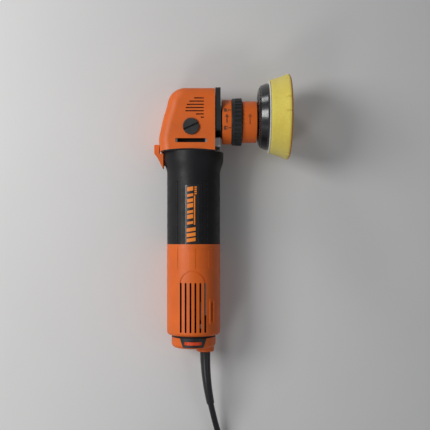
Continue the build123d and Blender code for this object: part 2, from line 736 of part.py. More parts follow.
coil_overhang, coil_inner, coil_outer, coil_half_angle = 3.4, slot_inner + 0.15, slot_outer - 0.15, 82
with BuildPart() as stator_coils:
    coil_start = stator_start_y + coil_overhang
    coil_length = coil_start - stator_end_y + coil_overhang
    for side in (90, 270):
        loop = sector(across(coil_start), coil_inner, coil_outer, side, coil_half_angle)
        extrude(loop, amount=coil_length)
        pole = sector(across(stator_start_y + 0.3), 15, 30, side, pole_half_angle + 2)
        extrude(pole, amount=stator_start_y - stator_end_y + 0.6, mode=Mode.SUBTRACT)
keep(stator_coils.part, "stator_coils")

shaft_tip_y = -10.8
keep(turned([
    (shaft_tip_y, 0), (shaft_tip_y, 2.2), (-18.2, 2.2), (-18.2, 5), (-33, 5), (-33, 6.5), (-39.5, 6.5),
    (-39.5, 4.5), (-49.5, 4.5), (-49.5, 5), (-125.5, 5), (-125.5, 3.5), (-132.6, 3.5), (-132.6, 0),
], barrel_axis), "armature_shaft")

armature_radius, armature_slots = 16.2, 12
with BuildPart() as armature_core:
    with BuildSketch(across(-57)):
        Circle(armature_radius)
        Circle(5, mode=Mode.SUBTRACT)
        with PolarLocations(armature_radius, armature_slots):
            Rectangle(4, 1.6, mode=Mode.SUBTRACT)
        with PolarLocations(11.9, armature_slots):
            Rectangle(5.4, 3.0, mode=Mode.SUBTRACT)
    extrude(amount=41)
keep(armature_core.part, "armature_core")

with BuildPart() as armature_windings:
    with BuildSketch(across(-52)):
        Circle(15)
        Circle(5, mode=Mode.SUBTRACT)
    extrude(amount=5)
    with BuildSketch(across(-98)):
        Circle(15)
        Circle(5, mode=Mode.SUBTRACT)
    extrude(amount=8.5)
    fillet(armature_windings.edges().filter_by(GeomType.CIRCLE).sort_by(SortBy.RADIUS)[-4:], 2)
    with BuildSketch(across(-56)):
        with PolarLocations(11.9, armature_slots):
            Rectangle(5.0, 2.7)
    extrude(amount=43)
keep(armature_windings.part, "armature_windings")

commutator_radius, commutator_bars = 9.0, 24
with BuildPart() as commutator:
    with BuildSketch(across(-107)):
        Circle(commutator_radius)
        Circle(5, mode=Mode.SUBTRACT)
    extrude(amount=14.5)
    with BuildSketch(across(-107)):
        Circle(commutator_radius + 1.2)
        Circle(5, mode=Mode.SUBTRACT)
    extrude(amount=2)
    with BuildSketch(across(-106)):
        with PolarLocations(commutator_radius + 0.4, commutator_bars):
            Rectangle(2.4, 0.4)
    extrude(amount=18, mode=Mode.SUBTRACT)
keep(commutator.part, "commutator")

with BuildPart() as cooling_fan:
    with BuildSketch(across(fan_end_y + 1.5)):
        Circle(fan_radius)
        Circle(4.5, mode=Mode.SUBTRACT)
    extrude(amount=1.5)
    with BuildSketch(across(fan_start_y)):
        Circle(8)
        Circle(4.5, mode=Mode.SUBTRACT)
    extrude(amount=fan_start_y - fan_end_y)
    with BuildSketch(across(fan_start_y)):
        with PolarLocations(17, 13):
            Rectangle(13, 1.4, rotation=24)
        Circle(fan_radius, mode=Mode.INTERSECT)
    extrude(amount=fan_start_y - fan_end_y - 1)
keep(cooling_fan.part, "cooling_fan")

brush_y = -115.6
brush_across, brush_along = 6.4, 9.0
with BuildPart() as brush_holders:
    for side in (1, -1):
        with BuildSketch(Plane.XY.offset(side * 10.6)):
            with Locations((0, brush_y)):
                Rectangle(brush_across + 2, brush_along + 2)
                Rectangle(brush_across + 0.1, brush_along + 0.1, mode=Mode.SUBTRACT)
        extrude(amount=side * 15.4)
        with BuildSketch(Plane.XY.offset(side * 26)):
            with Locations((0, brush_y)):
                Rectangle(brush_across + 2, brush_along + 2)
        extrude(amount=side * 1.2)
        with BuildSketch(Plane.XY.offset(side * 13)):
            with Locations((0, (brush_y - brush_along / 2 - 0.5 + spider_start_y) / 2)):
                Rectangle(15, brush_y - brush_along / 2 - 0.5 - spider_start_y)
        extrude(amount=side * 9)
keep(brush_holders.part, "brush_holders")

with BuildPart() as carbon_brushes:
    with BuildSketch(Plane.XY):
        with Locations((0, brush_y)):
            Rectangle(brush_across, brush_along)
    extrude(amount=19.5, both=True)
    with BuildSketch(across(brush_y + 10)):
        Circle(commutator_radius + running_gap)
    extrude(amount=20, mode=Mode.SUBTRACT)
keep(carbon_brushes.part, "carbon_brushes")

with BuildPart() as brush_springs:
    for side in (1, -1):
        with BuildLine():
            Helix(pitch=1.3, height=5.2, radius=2.1, center=(0, brush_y, 20.1 if side > 0 else -25.3))
        with BuildSketch(Plane(origin=(2.1, brush_y, 20.1 if side > 0 else -25.3), z_dir=(0, 1, 0))):
            Circle(0.3)
        sweep(is_frenet=True)
keep(brush_springs.part, "brush_springs")

# ---- switch -------------------------------------------------------------------------------------
switch_start_y, switch_end_y = -152.0, -180.0
knob_y = -157.5
with BuildPart() as switch_slider:
    with BuildSketch(Plane.XY):
        with BuildLine():
            Polyline(
                (-45.4, -27), (-45.4, -37), (-42.2, -40.6), (-39.2, -46.4), (-35.6, -54),
                (-34.8, -54), (-34.8, -37.4), (-39.4, -37.4), (-39.4, -27), close=True,
            )
        make_face()
    extrude(amount=slider_half_z + 0.6, both=True)
    fillet(switch_slider.edges().filter_by(Axis.Z).sort_by(Axis.X)[:2], 1.2)
    fillet(switch_slider.faces().sort_by(Axis.Z)[-1].edges().sort_by(Axis.X)[:4], 1.0)
    fillet(switch_slider.faces().sort_by(Axis.Z)[0].edges().sort_by(Axis.X)[:4], 1.0)
    with BuildSketch(Plane.XY):                   # foot through the housing's slot
        with Locations(((-35.5 + rod_x) / 2, -47.8)):
            Rectangle(35.5 + rod_x, 6)
    extrude(amount=rod_half_z, both=True)
keep(switch_slider.part, "switch_slider")

with BuildPart() as switch_rod:
    with BuildSketch(Plane.XY):
        with Locations((rod_x + rod_thick / 2, (-44.8 + knob_y - 2.5) / 2)):
            Rectangle(rod_thick, -44.8 - knob_y + 2.5)
        with Locations((rod_x + rod_thick + 1.9, knob_y)):
            Rectangle(3.9, 5)
    extrude(amount=rod_half_z - 0.4, both=True)
keep(switch_rod.part, "switch_rod")

with BuildPart() as power_switch:
    with BuildSketch(Plane.XY):
        with Locations(((-24.6 - 8.6) / 2, (switch_start_y + switch_end_y) / 2)):
            RectangleRounded(24.6 - 8.6, switch_start_y - switch_end_y, 0.8)
    extrude(amount=8, both=True)
    with BuildSketch(along(-25)):                 # slot that the rod's knob runs in
        with Locations((knob_y + 1, 0)):
            Rectangle(18, 2 * rod_half_z)
    extrude(amount=4.2, mode=Mode.SUBTRACT)
    with BuildSketch(across(switch_end_y)):       # blade terminals
        with Locations(*[(x, z) for x in (-20, -13) for z in (-4, 4)]):
            Rectangle(0.8, 3.2)
    extrude(amount=6)
keep(power_switch.part, "power_switch")

# ---- rear frame and its electronics -------------------------------------------------------------
plate_x, plate_thick = -8.5, 2.0
dial_z, dial_radius, dial_y, dial_thick = 14.5, 14.5, -253.4, 3.6
ring_half_x, ring_half_z = 25.0, 26.5
cap_half_x, cap_half_z = 25.5, 27.0
opening_half_x, opening_half_z = 23.0, 24.5
cap_bolts = [(-17.5, 2.0), (0.0, -17.0)]
clamp_y = -236.0
with BuildPart() as rear_frame:
    with BuildSketch(Plane.YZ.offset(plate_x)):
        with Locations(((-151 - 242) / 2, 0)):
            Rectangle(242 - 151, 56)
        with Locations(((spider_end_y - 152) / 2, 0)):
            Rectangle(152 + spider_end_y, 30)
        with Locations((-200, 0)):
            RectangleRounded(26, 30, 3, mode=Mode.SUBTRACT)
    extrude(amount=plate_thick)
    # cross wall, with the post that the cord clamp sits on
    with BuildSketch(across(-240)):
        with Locations((-0.25, 13)):
            Rectangle(16.5, 18)
        with Locations((6.25, -8)):
            Rectangle(29.5, 8)
        with Locations((-4.5, -14)):
            Rectangle(8, 14)
    extrude(amount=2.4)
    with BuildSketch(across(-231)):
        with Locations((13.4, -7.8)):
            Rectangle(14, 8.4)
    extrude(amount=11)
    with BuildSketch(across(-226)):
        with Locations(*cap_bolts):
            Circle(3.6)
        with Locations((-12.5, 2), (-4, -17)):
            Rectangle(8, 6)
    extrude(amount=15)
    # collar through the rear shell's end, and the ring that shows between shell and cap
    with BuildSketch(across(-240)):
        Ellipse(opening_half_x - 0.2, opening_half_z - 0.2)
        Ellipse(opening_half_x - 2.2, opening_half_z - 2.2, mode=Mode.SUBTRACT)
    extrude(amount=-240 - cap_front_y)
    with BuildSketch(across(shell_rear_y)):
        Ellipse(ring_half_x, ring_half_z)
        Ellipse(opening_half_x - 2.2, opening_half_z - 2.2, mode=Mode.SUBTRACT)
    extrude(amount=shell_rear_y - cap_front_y)
    with BuildSketch(across(-225)):
        with Locations(*cap_bolts):
            Circle(1.9)
    extrude(amount=22, mode=Mode.SUBTRACT)
    with BuildSketch(across(-230)):               # way through for the dial's shaft
        with Locations((0, dial_z)):
            Circle(3.6)
    extrude(amount=14, mode=Mode.SUBTRACT)
    with BuildSketch(Plane.XY.offset(-15)):       # tapped holes for the clamp's screws
        with Locations((gland_x - 5.2, clamp_y), (gland_x + 5.2, clamp_y)):
            Circle(1.45)
    extrude(amount=14, mode=Mode.SUBTRACT)
keep(rear_frame.part, "rear_frame")

with BuildPart() as speed_board:
    with BuildSketch(Plane.YZ.offset(plate_x + plate_thick)):
        with Locations((-193, 0)):
            RectangleRounded(64, 40, 1.5)
    extrude(amount=1.6)
keep(speed_board.part, "speed_board")

board_x = plate_x + plate_thick + 1.6
with BuildPart() as board_parts:
    with BuildSketch(Plane.YZ.offset(board_x)):
        with Locations((-174, -9)):
            RectangleRounded(18, 13, 1)
        with Locations((-170, 11)):
            Circle(5.5)
        with Locations((-214, -11)):
            RectangleRounded(10, 8, 0.6)
    extrude(amount=11)
    with BuildSketch(Plane.YZ.offset(board_x)):
        with GridLocations(0, 4, 1, 5):
            with Locations((-197, 0)):
                Rectangle(22, 1.6)
    extrude(amount=14)
    with BuildSketch(Plane.YZ.offset(board_x)):
        with Locations((-197, 0)):
            Rectangle(22, 17.6)
    extrude(amount=2.5)
keep(board_parts.part, "board_parts")

with BuildPart() as speed_pot:
    with BuildSketch(across(-242.5)):
        with Locations((0, dial_z)):
            Circle(7.4)
            Circle(3.0 + running_gap, mode=Mode.SUBTRACT)
    extrude(amount=7.5)
keep(speed_pot.part, "speed_pot")

with BuildPart() as speed_dial:
    with BuildSketch(across(dial_y + dial_thick / 2)):
        with Locations((0, dial_z)):
            Circle(dial_radius)
        with Locations((0, dial_z)):
            with PolarLocations(dial_radius + 0.1, 48):
                Rectangle(1.2, 0.7, mode=Mode.SUBTRACT)
    extrude(amount=dial_thick)
    with BuildSketch(across(-244)):
        with Locations((0, dial_z)):
            Circle(3.0)
    extrude(amount=-244 - dial_y)
keep(speed_dial.part, "speed_dial")

# ---- rear shell and end cap ---------------------------------------------------------------------
slot_pitch, slot_width, slot_top_y, slot_end_y = 5.5, 2.1, -185.8, -240.0
frame_angle, frame_y, frame_length, frame_width = 42.7, -217.5, 28.4, 7.3
slots_x = [slot_pitch * (i - 2.5) for i in range(6)]

with BuildSketch() as arch_grooves:               # three half rings over the six slots
    for i in range(3):
        with Locations((0, slot_top_y)):
            Circle(slot_pitch * (i + 0.5) + slot_width / 2)
            Circle(slot_pitch * (i + 0.5) - slot_width / 2, mode=Mode.SUBTRACT)
    with Locations((0, slot_top_y - 20)):
        Rectangle(40, 40, mode=Mode.SUBTRACT)

with BuildSketch() as shell_panels:
    with Locations((-11.35, -158)):
        RectangleRounded(12.5, 24, 1.5)
    with Locations((9.9, -158)):
        RectangleRounded(15, 24, 1.5)


def frame_seat(side, radius):
    """The plane of a slit's frame, so far from the barrel's axis: local x runs along Y."""
    angle = radians(frame_angle + side)
    out = (sin(angle), 0, cos(angle))
    return Plane(origin=(out[0] * radius, frame_y, out[2] * radius), x_dir=(0, 1, 0), z_dir=out)


with BuildPart() as rear_shell:
    with BuildSketch(across(shell_front_y)):
        Ellipse(shell_half_x, body_reach)
    extrude(amount=shell_front_y - shell_rear_y)
    fillet(rear_shell.faces().sort_by(Axis.Y)[0].edges(), 3.8)
    with BuildSketch(across(shell_front_y)):
        Ellipse(shell_half_x - shell_wall, body_reach - shell_wall)
    extrude(amount=shell_front_y - shell_rear_y - 2.4, mode=Mode.SUBTRACT)
    with BuildSketch(across(-240)):
        Ellipse(opening_half_x, opening_half_z)
    extrude(amount=8, mode=Mode.SUBTRACT)
    with BuildSketch(Plane.XY):
        for x in slots_x:
            with Locations((x, (slot_top_y + slot_end_y) / 2)):
                SlotOverall(slot_top_y - slot_end_y + slot_width, slot_width, rotation=90)
    extrude(amount=40, both=True, mode=Mode.SUBTRACT)
    add(skin(arch_grooves.sketch, shell_half_x, body_reach, 0.9, proud=1), mode=Mode.SUBTRACT)
    add(skin(shell_panels.sketch, shell_half_x, body_reach, 0.5, proud=1), mode=Mode.SUBTRACT)
    with BuildSketch(across(shell_front_y - 4)):  # groove that sets off the front lip
        Ellipse(shell_half_x + 1, body_reach + 1)
        Ellipse(shell_half_x - 0.4, body_reach - 0.4, mode=Mode.SUBTRACT)
    extrude(amount=0.7, mode=Mode.SUBTRACT)
    for side in (0, 180):                         # raised frames round a narrow slit
        with BuildSketch(frame_seat(side, 29.5)):
            RectangleRounded(frame_length, frame_width, 1.6)
        extrude(amount=2.6)
        with BuildSketch(frame_seat(side, 31.5)):
            RectangleRounded(frame_length - 3, frame_width - 3, 0.8)
        extrude(amount=2, mode=Mode.SUBTRACT)
        with BuildSketch(frame_seat(side, 26)):
            RectangleRounded(frame_length - 8, 1.6, 0.7)
        extrude(amount=8, mode=Mode.SUBTRACT)
keep(rear_shell.part, "rear_shell")

cap_wall, gland_radius, gland_end_y = 2.5, 10.3, -265.3
boot_root = 6.0
with BuildSketch() as bezel_outline:
    Polygon((-15, cap_front_y), (15, cap_front_y), (11.5, -258.2), (-11.5, -258.2), align=None)
with BuildSketch() as dial_window:
    with Locations((0, dial_y)):
        RectangleRounded(17.6, 4.2, 1.2)

with BuildPart() as end_cap:
    with BuildSketch(across(cap_front_y)):
        Ellipse(cap_half_x, cap_half_z)
    extrude(amount=cap_front_y - cap_rear_y)
    fillet(end_cap.faces().sort_by(Axis.Y)[0].edges(), 5)
    with BuildSketch(across(-255)):
        with Locations((gland_x, 0)):
            Circle(gland_radius)
    extrude(amount=-255 - gland_end_y)
    fillet(end_cap.faces().sort_by(Axis.Y)[0].edges(), 1.2)
    with BuildSketch(across(cap_front_y)):
        Ellipse(cap_half_x - cap_wall, cap_half_z - cap_wall)
    extrude(amount=cap_front_y - cap_rear_y - cap_wall, mode=Mode.SUBTRACT)
    with BuildSketch(across(cap_front_y)):
        with Locations(*cap_bolts):
            Circle(3.4)
    extrude(amount=cap_front_y - cap_rear_y - 1)
    with BuildSketch(across(cap_front_y + 1)):
        with Locations(*cap_bolts):
            Circle(2.1)
    extrude(amount=16, mode=Mode.SUBTRACT)
    with BuildSketch(across(-257.8)):
        with Locations(*cap_bolts):
            Circle(3.6)
    extrude(amount=5, mode=Mode.SUBTRACT)
    with BuildSketch(across(-250)):
        with Locations((gland_x, 0)):
            Circle(boot_root + 0.02)
    extrude(amount=20, mode=Mode.SUBTRACT)
    extrude(bezel_outline.sketch, amount=40, mode=Mode.SUBTRACT)
    with BuildSketch(across(dial_y + dial_thick / 2 + 0.4)):
        with Locations((0, dial_z)):
            Circle(dial_radius + 0.5)
    extrude(amount=dial_thick + 0.8, mode=Mode.SUBTRACT)
keep(end_cap.part, "end_cap")

with BuildPart() as dial_bezel:
    add(skin(bezel_outline.sketch, cap_half_x, cap_half_z, cap_wall, proud=0.6, both=False))
    extrude(dial_window.sketch, amount=40, mode=Mode.SUBTRACT)
    with BuildSketch(across(dial_y + dial_thick / 2 + 0.3)):
        with Locations((0, dial_z)):
            Circle(dial_radius + 0.4)
    extrude(amount=dial_thick + 0.6, mode=Mode.SUBTRACT)
keep(dial_bezel.part, "dial_bezel")

long_screw_length, long_screw_head = 24.0, 2.6
with BuildPart() as long_screws:
    for x, z in flange_screws:
        head_seat = Plane(origin=(x, -25, z), x_dir=(1, 0, 0), z_dir=(0, 1, 0))
        add(screw(head_seat, long_screw_length, 1.9, 3.4, long_screw_head, 3.6))
    for x, z in cap_bolts:
        head_seat = Plane(origin=(x, -257.8, z), x_dir=(1, 0, 0), z_dir=(0, -1, 0))
        add(screw(head_seat, long_screw_length, 1.9, 3.4, long_screw_head - 0.4, 3.6))
keep(long_screws.part, "long_screws")

with BuildPart() as small_screws:
    for y, z in cap_screws:
        head_seat = Plane(origin=(29, y, z), x_dir=(0, 1, 0), z_dir=(1, 0, 0))
        add(screw(head_seat, 11, 1.45, 2.8, 1.9, 3.0))
    for x in (17.5, -17.5):
        head_seat = Plane(origin=(x, -37.5, 0), x_dir=(1, 0, 0), z_dir=(0, -1, 0))
        add(screw(head_seat, 8, 1.45, 2.8, 1.9, 3.0))
    for x in (gland_x - 5.2, gland_x + 5.2):
        head_seat = Plane(origin=(x, clamp_y, 5.6), x_dir=(1, 0, 0), z_dir=(0, 0, 1))
        add(screw(head_seat, 16, 1.45, 2.8, 1.9, 3.0))
keep(small_screws.part, "small_screws")

with BuildPart() as cord_clamp:
    with BuildSketch(across(clamp_y + 4)):
        with Locations((gland_x, 0)):
            with Locations((0, 1.0)):
                RectangleRounded(16, 9.2, 1.5)
            Circle(cord_radius, mode=Mode.SUBTRACT)
            with Locations((0, -5)):
                Rectangle(2 * cord_radius, 10, mode=Mode.SUBTRACT)
    extrude(amount=8)
    with BuildSketch(Plane.XY.offset(-10)):
        with Locations((gland_x - 5.2, clamp_y), (gland_x + 5.2, clamp_y)):
            Circle(1.5)
    extrude(amount=20, mode=Mode.SUBTRACT)
keep(cord_clamp.part, "cord_clamp")

with BuildPart() as lead_tail:
    with BuildSketch(across(-224)):
        with Locations((gland_x, 0)):
            Circle(cord_radius)
    extrude(amount=-224 + 255.7)
keep(lead_tail.part, "lead_tail")

# ---- cord boot ----------------------------------------------------------------------------------
boot_lean, boot_sag = 8.0, 12.0
boot_end_radius = 4.5
down = Vector(-sin(radians(roll)), 0, -cos(radians(roll)))


def boot_plane(share):
    """The plane across the boot at a share of its length: it leans towards the pad and sags."""
    middle = Vector(gland_x + boot_lean * share**2, gland_end_y - boot_length * share, 0)
    heading = Vector(2 * boot_lean * share, -boot_length, 0) + down * (2 * boot_sag * share)
    return Plane(origin=middle + down * (boot_sag * share**2), x_dir=(1, 0, 0), z_dir=heading)


with BuildPart() as cord_boot:
    for step in range(6):
        with BuildSketch(boot_plane(step / 5)):
            Circle(boot_root + (boot_end_radius - boot_root) * step / 5)
    loft()
    with BuildSketch(across(-255.7)):             # flange behind the end cap's wall, and the neck
        with Locations((gland_x, 0)):
            Circle(8.5)
    extrude(amount=cap_wall - 0.5)
    with BuildSketch(across(-257)):
        with Locations((gland_x, 0)):
            Circle(boot_root)
    extrude(amount=-257 - gland_end_y)
keep(cord_boot.part, "cord_boot")

# ---- at rest: everything so far is laid on its side, centred over the origin ---------------------
laid = Location((0, 0, 0), (0, -roll, 0))
tool_box = Compound(children=[piece.moved(laid) for piece in pieces]).bounding_box()
to_origin = Vector(-tool_box.center().X, -tool_box.center().Y, -tool_box.min.Z)
rest = Location(to_origin) * laid

# ---- cord, drawn where it lies: Z = 0 is the floor ----------------------------------------------
cord_length = 5000.0          # from the boot to the plug
coil_middle = (-37.4, -306.5)
coil_inner, coil_outer, coil_layers = 28.0, 59.5, 4     # middles of the inmost and outmost turns
lead_route = [
    (rest * Location(boot_plane(1).origin)).position,
    Vector(-7.6, -216.2, 14.6),
    Vector(1.5, -242.0, 6.5),
    Vector(11.7, -267.4, 3.7),
    Vector(18.5, -286.2, 3.6),
]
tail_route = [
    Vector(-7.65, -255.0, 24.6),
    Vector(10.3, -265.8, 22.0),
    Vector(25.3, -276.0, 14.6),
    Vector(34.0, -288.5, 8.6),
    Vector(39.0, -302.5, 6.9),
    Vector(39.0, -317.0, 6.9),
]


def corner_radii(route):
    """Each corner's arc: as large as 0.45 of its shorter run leaves room for."""
    radii = []
    for before, corner, after in zip(route, route[1:], route[2:]):
        arriving, leaving = corner - before, after - corner
        turn = radians(arriving.get_angle(leaving))
        radii.append(0.45 * min(arriving.length, leaving.length) / tan(turn / 2))
    return radii


def tube(route, label):
    """The cord along a route of straight runs joined by tangent arcs."""
    radii = corner_radii(route)
    with BuildPart() as cord:
        with BuildLine() as path:
            FilletPolyline(*route, radius=radii)
        with BuildSketch(Plane(origin=path.line @ 0, z_dir=path.line % 0)):
            Circle(cord_radius)
        sweep()
    section = pi * cord_radius**2
    print(label, "arc radii", [round(r, 1) for r in radii], "length", round(path.wire().length, 1),
          "volume over section times length", round(cord.part.volume / section / path.wire().length, 4))
    keep(cord.part, label, cord_pieces)
    return path.wire().length


free_length = tube(lead_route, "cord_lead") + tube(tail_route, "cord_tail")
coil_turns = (cord_length - free_length) / (pi * (coil_inner + coil_outer))
print("coil turns", round(coil_turns, 2), "in", coil_layers, "layers")

with BuildPart() as cord_coil:
    with BuildSketch(Plane.XY):
        with Locations(coil_middle):
            Circle(coil_outer + cord_radius + 0.1)
            Circle(coil_inner - cord_radius, mode=Mode.SUBTRACT)
    extrude(amount=2 * cord_radius * coil_layers + 0.2)
keep(cord_coil.part, "cord_coil", cord_pieces)

# ---- mains plug, two round pins -----------------------------------------------------------------
mains_x, mains_z, plug_start_y = tail_route[-1].X, tail_route[-1].Z, tail_route[-1].Y
plug_width, plug_thick, relief_length, grip_length = 35.0, 13.6, 14.0, 38.0
pin_spacing, pin_length, pin_radius = 19.0, 19.0, 2.0
plug_face_y = plug_start_y - relief_length - grip_length


def plug_plane(y):
    return Plane(origin=(mains_x, y, mains_z), x_dir=(1, 0, 0), z_dir=(0, -1, 0))


with BuildPart() as plug_body:
    relief_end_y = plug_start_y - relief_length
    for y, radius in ((plug_start_y, 4.6), (relief_end_y + 1, 5.6)):
        with BuildSketch(plug_plane(y)):
            Circle(radius)
    loft()
    for y, width, thick in (
        (relief_end_y + 1, 15.0, 11.5), (relief_end_y - 8, 22.0, 12.4), (relief_end_y - 26, 31.0, 13.4),
        (plug_face_y, plug_width, plug_thick),
    ):
        with BuildSketch(plug_plane(y)):
            RectangleRounded(width, thick, thick / 2 - 0.4)
    loft()
keep(plug_body.part, "plug_body", cord_pieces)

with BuildPart() as plug_pins:
    with BuildSketch(plug_plane(plug_face_y)):
        with Locations((pin_spacing / 2, 0), (-pin_spacing / 2, 0)):
            Circle(pin_radius)
    extrude(amount=pin_length)
    fillet(plug_pins.faces().sort_by(Axis.Y)[:2].edges(), 0.9)
keep(plug_pins.part, "plug_pins", cord_pieces)

os.makedirs("parts", exist_ok=True)
for piece in pieces:
    export_step(piece.moved(rest), f"parts/{piece.label}.step")
for piece in cord_pieces:
    export_step(piece, f"parts/{piece.label}.step")
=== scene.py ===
import json
from math import atan, cos, pi, radians, sin, sqrt

import bmesh
import bpy
from mathutils import Matrix, Vector, noise


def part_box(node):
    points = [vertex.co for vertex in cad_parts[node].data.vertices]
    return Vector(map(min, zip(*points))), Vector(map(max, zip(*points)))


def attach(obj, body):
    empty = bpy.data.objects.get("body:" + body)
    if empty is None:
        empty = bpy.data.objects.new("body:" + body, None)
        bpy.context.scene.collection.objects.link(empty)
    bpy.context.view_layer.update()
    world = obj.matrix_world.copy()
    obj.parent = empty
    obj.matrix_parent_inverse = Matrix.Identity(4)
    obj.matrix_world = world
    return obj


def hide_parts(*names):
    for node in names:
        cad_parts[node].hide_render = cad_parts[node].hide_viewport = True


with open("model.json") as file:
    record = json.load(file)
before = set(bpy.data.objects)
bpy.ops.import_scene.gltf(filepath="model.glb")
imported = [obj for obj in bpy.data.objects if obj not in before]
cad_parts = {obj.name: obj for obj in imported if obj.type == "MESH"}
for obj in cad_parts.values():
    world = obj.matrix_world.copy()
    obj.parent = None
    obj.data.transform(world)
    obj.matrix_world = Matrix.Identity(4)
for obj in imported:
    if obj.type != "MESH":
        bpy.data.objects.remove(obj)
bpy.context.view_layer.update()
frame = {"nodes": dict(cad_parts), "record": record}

MM = 0.001
nodes = frame["nodes"]
# the foam pad: its two faces along the spindle, the rounding of its edge, and the radius it is rounded about
BACK_X, FACE_X, EDGE, RIM = 87.4, 111.0, 3.0, 46.0

# ---- the machine's own axes ---------------------------------------------------------------------
# The spindle joint gives them: X along the spindle to the pad, Y along the barrel, Z out of the side.
spin = next(j for j in frame["record"]["behaviour"]["joints"] if j["name"] == "spindle_spin")
pad_spin = next(j for j in frame["record"]["behaviour"]["joints"] if j["name"] == "pad_spin")
axis_x = Vector(spin["axis"]).normalized()
axis_y = Vector((0, 1, 0))
axis_z = axis_x.cross(axis_y)
turn = Matrix((axis_x, axis_y, axis_z)).transposed().to_4x4()
to_row = Matrix.Translation(Vector(spin["pos_m"])) @ turn
PAD_Y = (to_row.inverted() @ Vector(pad_spin["pos_m"])).y / MM


def at(x, y, z):
    """A point given in the machine's axes and millimetres, in the row frame and metres."""
    return to_row @ (Vector((x, y, z)) * MM)


# ---- camera -------------------------------------------------------------------------------------
VIEW_DISTANCE = 870
lens = bpy.data.cameras.new("camera")
lens.sensor_width = 36
lens.lens = 62.8
lens.shift_x = 0.007
lens.shift_y = 0.065
lens.clip_start = 0.05
camera = bpy.data.objects.new("camera", lens)
bpy.context.scene.collection.objects.link(camera)
camera.matrix_world = Matrix.Translation(at(21.3, -140, VIEW_DISTANCE)) @ turn
bpy.context.scene.camera = camera
bpy.context.scene.view_settings.view_transform = "Standard"

# ---- node materials -----------------------------------------------------------------------------


class Tree:
    """A material's nodes, written as nested calls."""

    def __init__(self, name):
        self.material = bpy.data.materials.new(name)
        self.material.use_nodes = True
        self.tree = self.material.node_tree
        self.tree.nodes.clear()

    def node(self, kind, inputs=None, **settings):
        made = self.tree.nodes.new("ShaderNode" + kind)
        for key, value in settings.items():
            setattr(made, key, value)
        for key, value in (inputs or {}).items():
            if isinstance(value, bpy.types.NodeSocket):
                self.tree.links.new(value, made.inputs[key])
            else:
                made.inputs[key].default_value = value
        return made

    def place(self):
        return self.node("TexCoord").outputs["Object"]

    def machine(self):
        """Where a point is in the machine's axes, in metres."""
        back = to_row.inverted()
        return self.node("Mapping", {
            "Vector": self.place(), "Location": back.translation, "Rotation": back.to_euler(),
        }).outputs[0]

    def stretched(self, scale):
        return self.node("Mapping", {"Vector": self.place(), "Scale": scale}).outputs[0]

    def noise(self, scale, detail=3.0, vector=None, roughness=0.55):
        return self.node("TexNoise", {
            "Vector": vector or self.place(), "Scale": scale, "Detail": detail, "Roughness": roughness,
        }).outputs[0]

    def cells(self, scale, feature="F1"):
        return self.node("TexVoronoi", {"Vector": self.place(), "Scale": scale}, feature=feature).outputs[0]

    def remap(self, value, low, high, to_low=0.0, to_high=1.0):
        return self.node("MapRange", {
            "Value": value, "From Min": low, "From Max": high, "To Min": to_low, "To Max": to_high,
        }).outputs[0]

    def math(self, operation, a, b=0.0):
        return self.node("Math", {0: a, 1: b}, operation=operation).outputs[0]

    def blend(self, share, a, b):
        return self.node("Mix", {0: share, 6: a, 7: b}, data_type="RGBA").outputs[2]

    def edges(self, radius):
        """1 along the edges of the shape and 0 on its flats."""
        rounded = self.node("Bevel", {"Radius": radius}, samples=4).outputs[0]
        plain = self.node("NewGeometry").outputs["Normal"]
        match = self.node("VectorMath", {0: rounded, 1: plain}, operation="DOT_PRODUCT").outputs["Value"]
        return self.remap(match, 0.995, 0.86)

    def bump(self, height, strength, distance, normal=None):
        inputs = {"Height": height, "Strength": strength, "Distance": distance}
        if normal:
            inputs["Normal"] = normal
        return self.node("Bump", inputs).outputs[0]

    def surface(self, colour, roughness, normal=None, **constants):
        inputs = {"Base Color": colour, "Roughness": roughness}
        inputs.update({key.replace("_", " "): value for key, value in constants.items()})
        if normal:
            inputs["Normal"] = normal
        shader = self.node("BsdfPrincipled", inputs)
        self.node("OutputMaterial", {"Surface": shader.outputs[0]})
        return self.material


def rgb(*values):
    return (*values, 1.0)


# the gear case, in the machine's axes: its bare rim, the face behind the window, what lies behind the vents
RIM_START_X, WINDOW_Y, WINDOW_REACH, WINDOW_FACE_Z, VENTS_LOW_Y = 24.4, -24.5, 4.0, 24.6, -18.0
# painted shade warmed as a painted reflection of the orange cover, seen behind the vents
WARM_SHADE_REFLECTION = rgb(0.10, 0.018, 0.006)
# radii that the raised marks of the neck and of the orbit head stand past, and the floor of the plugs' slot:
# nearer the middle plane than this, the plugs get painted shade
NECK_MARKS_R, HEAD_MARKS_R, SLOT_FLOOR_Z = 25.56, 23.86, 28.7


def shade(colour, factor):
    return rgb(*[min(1.0, c * factor) for c in colour[:3]])


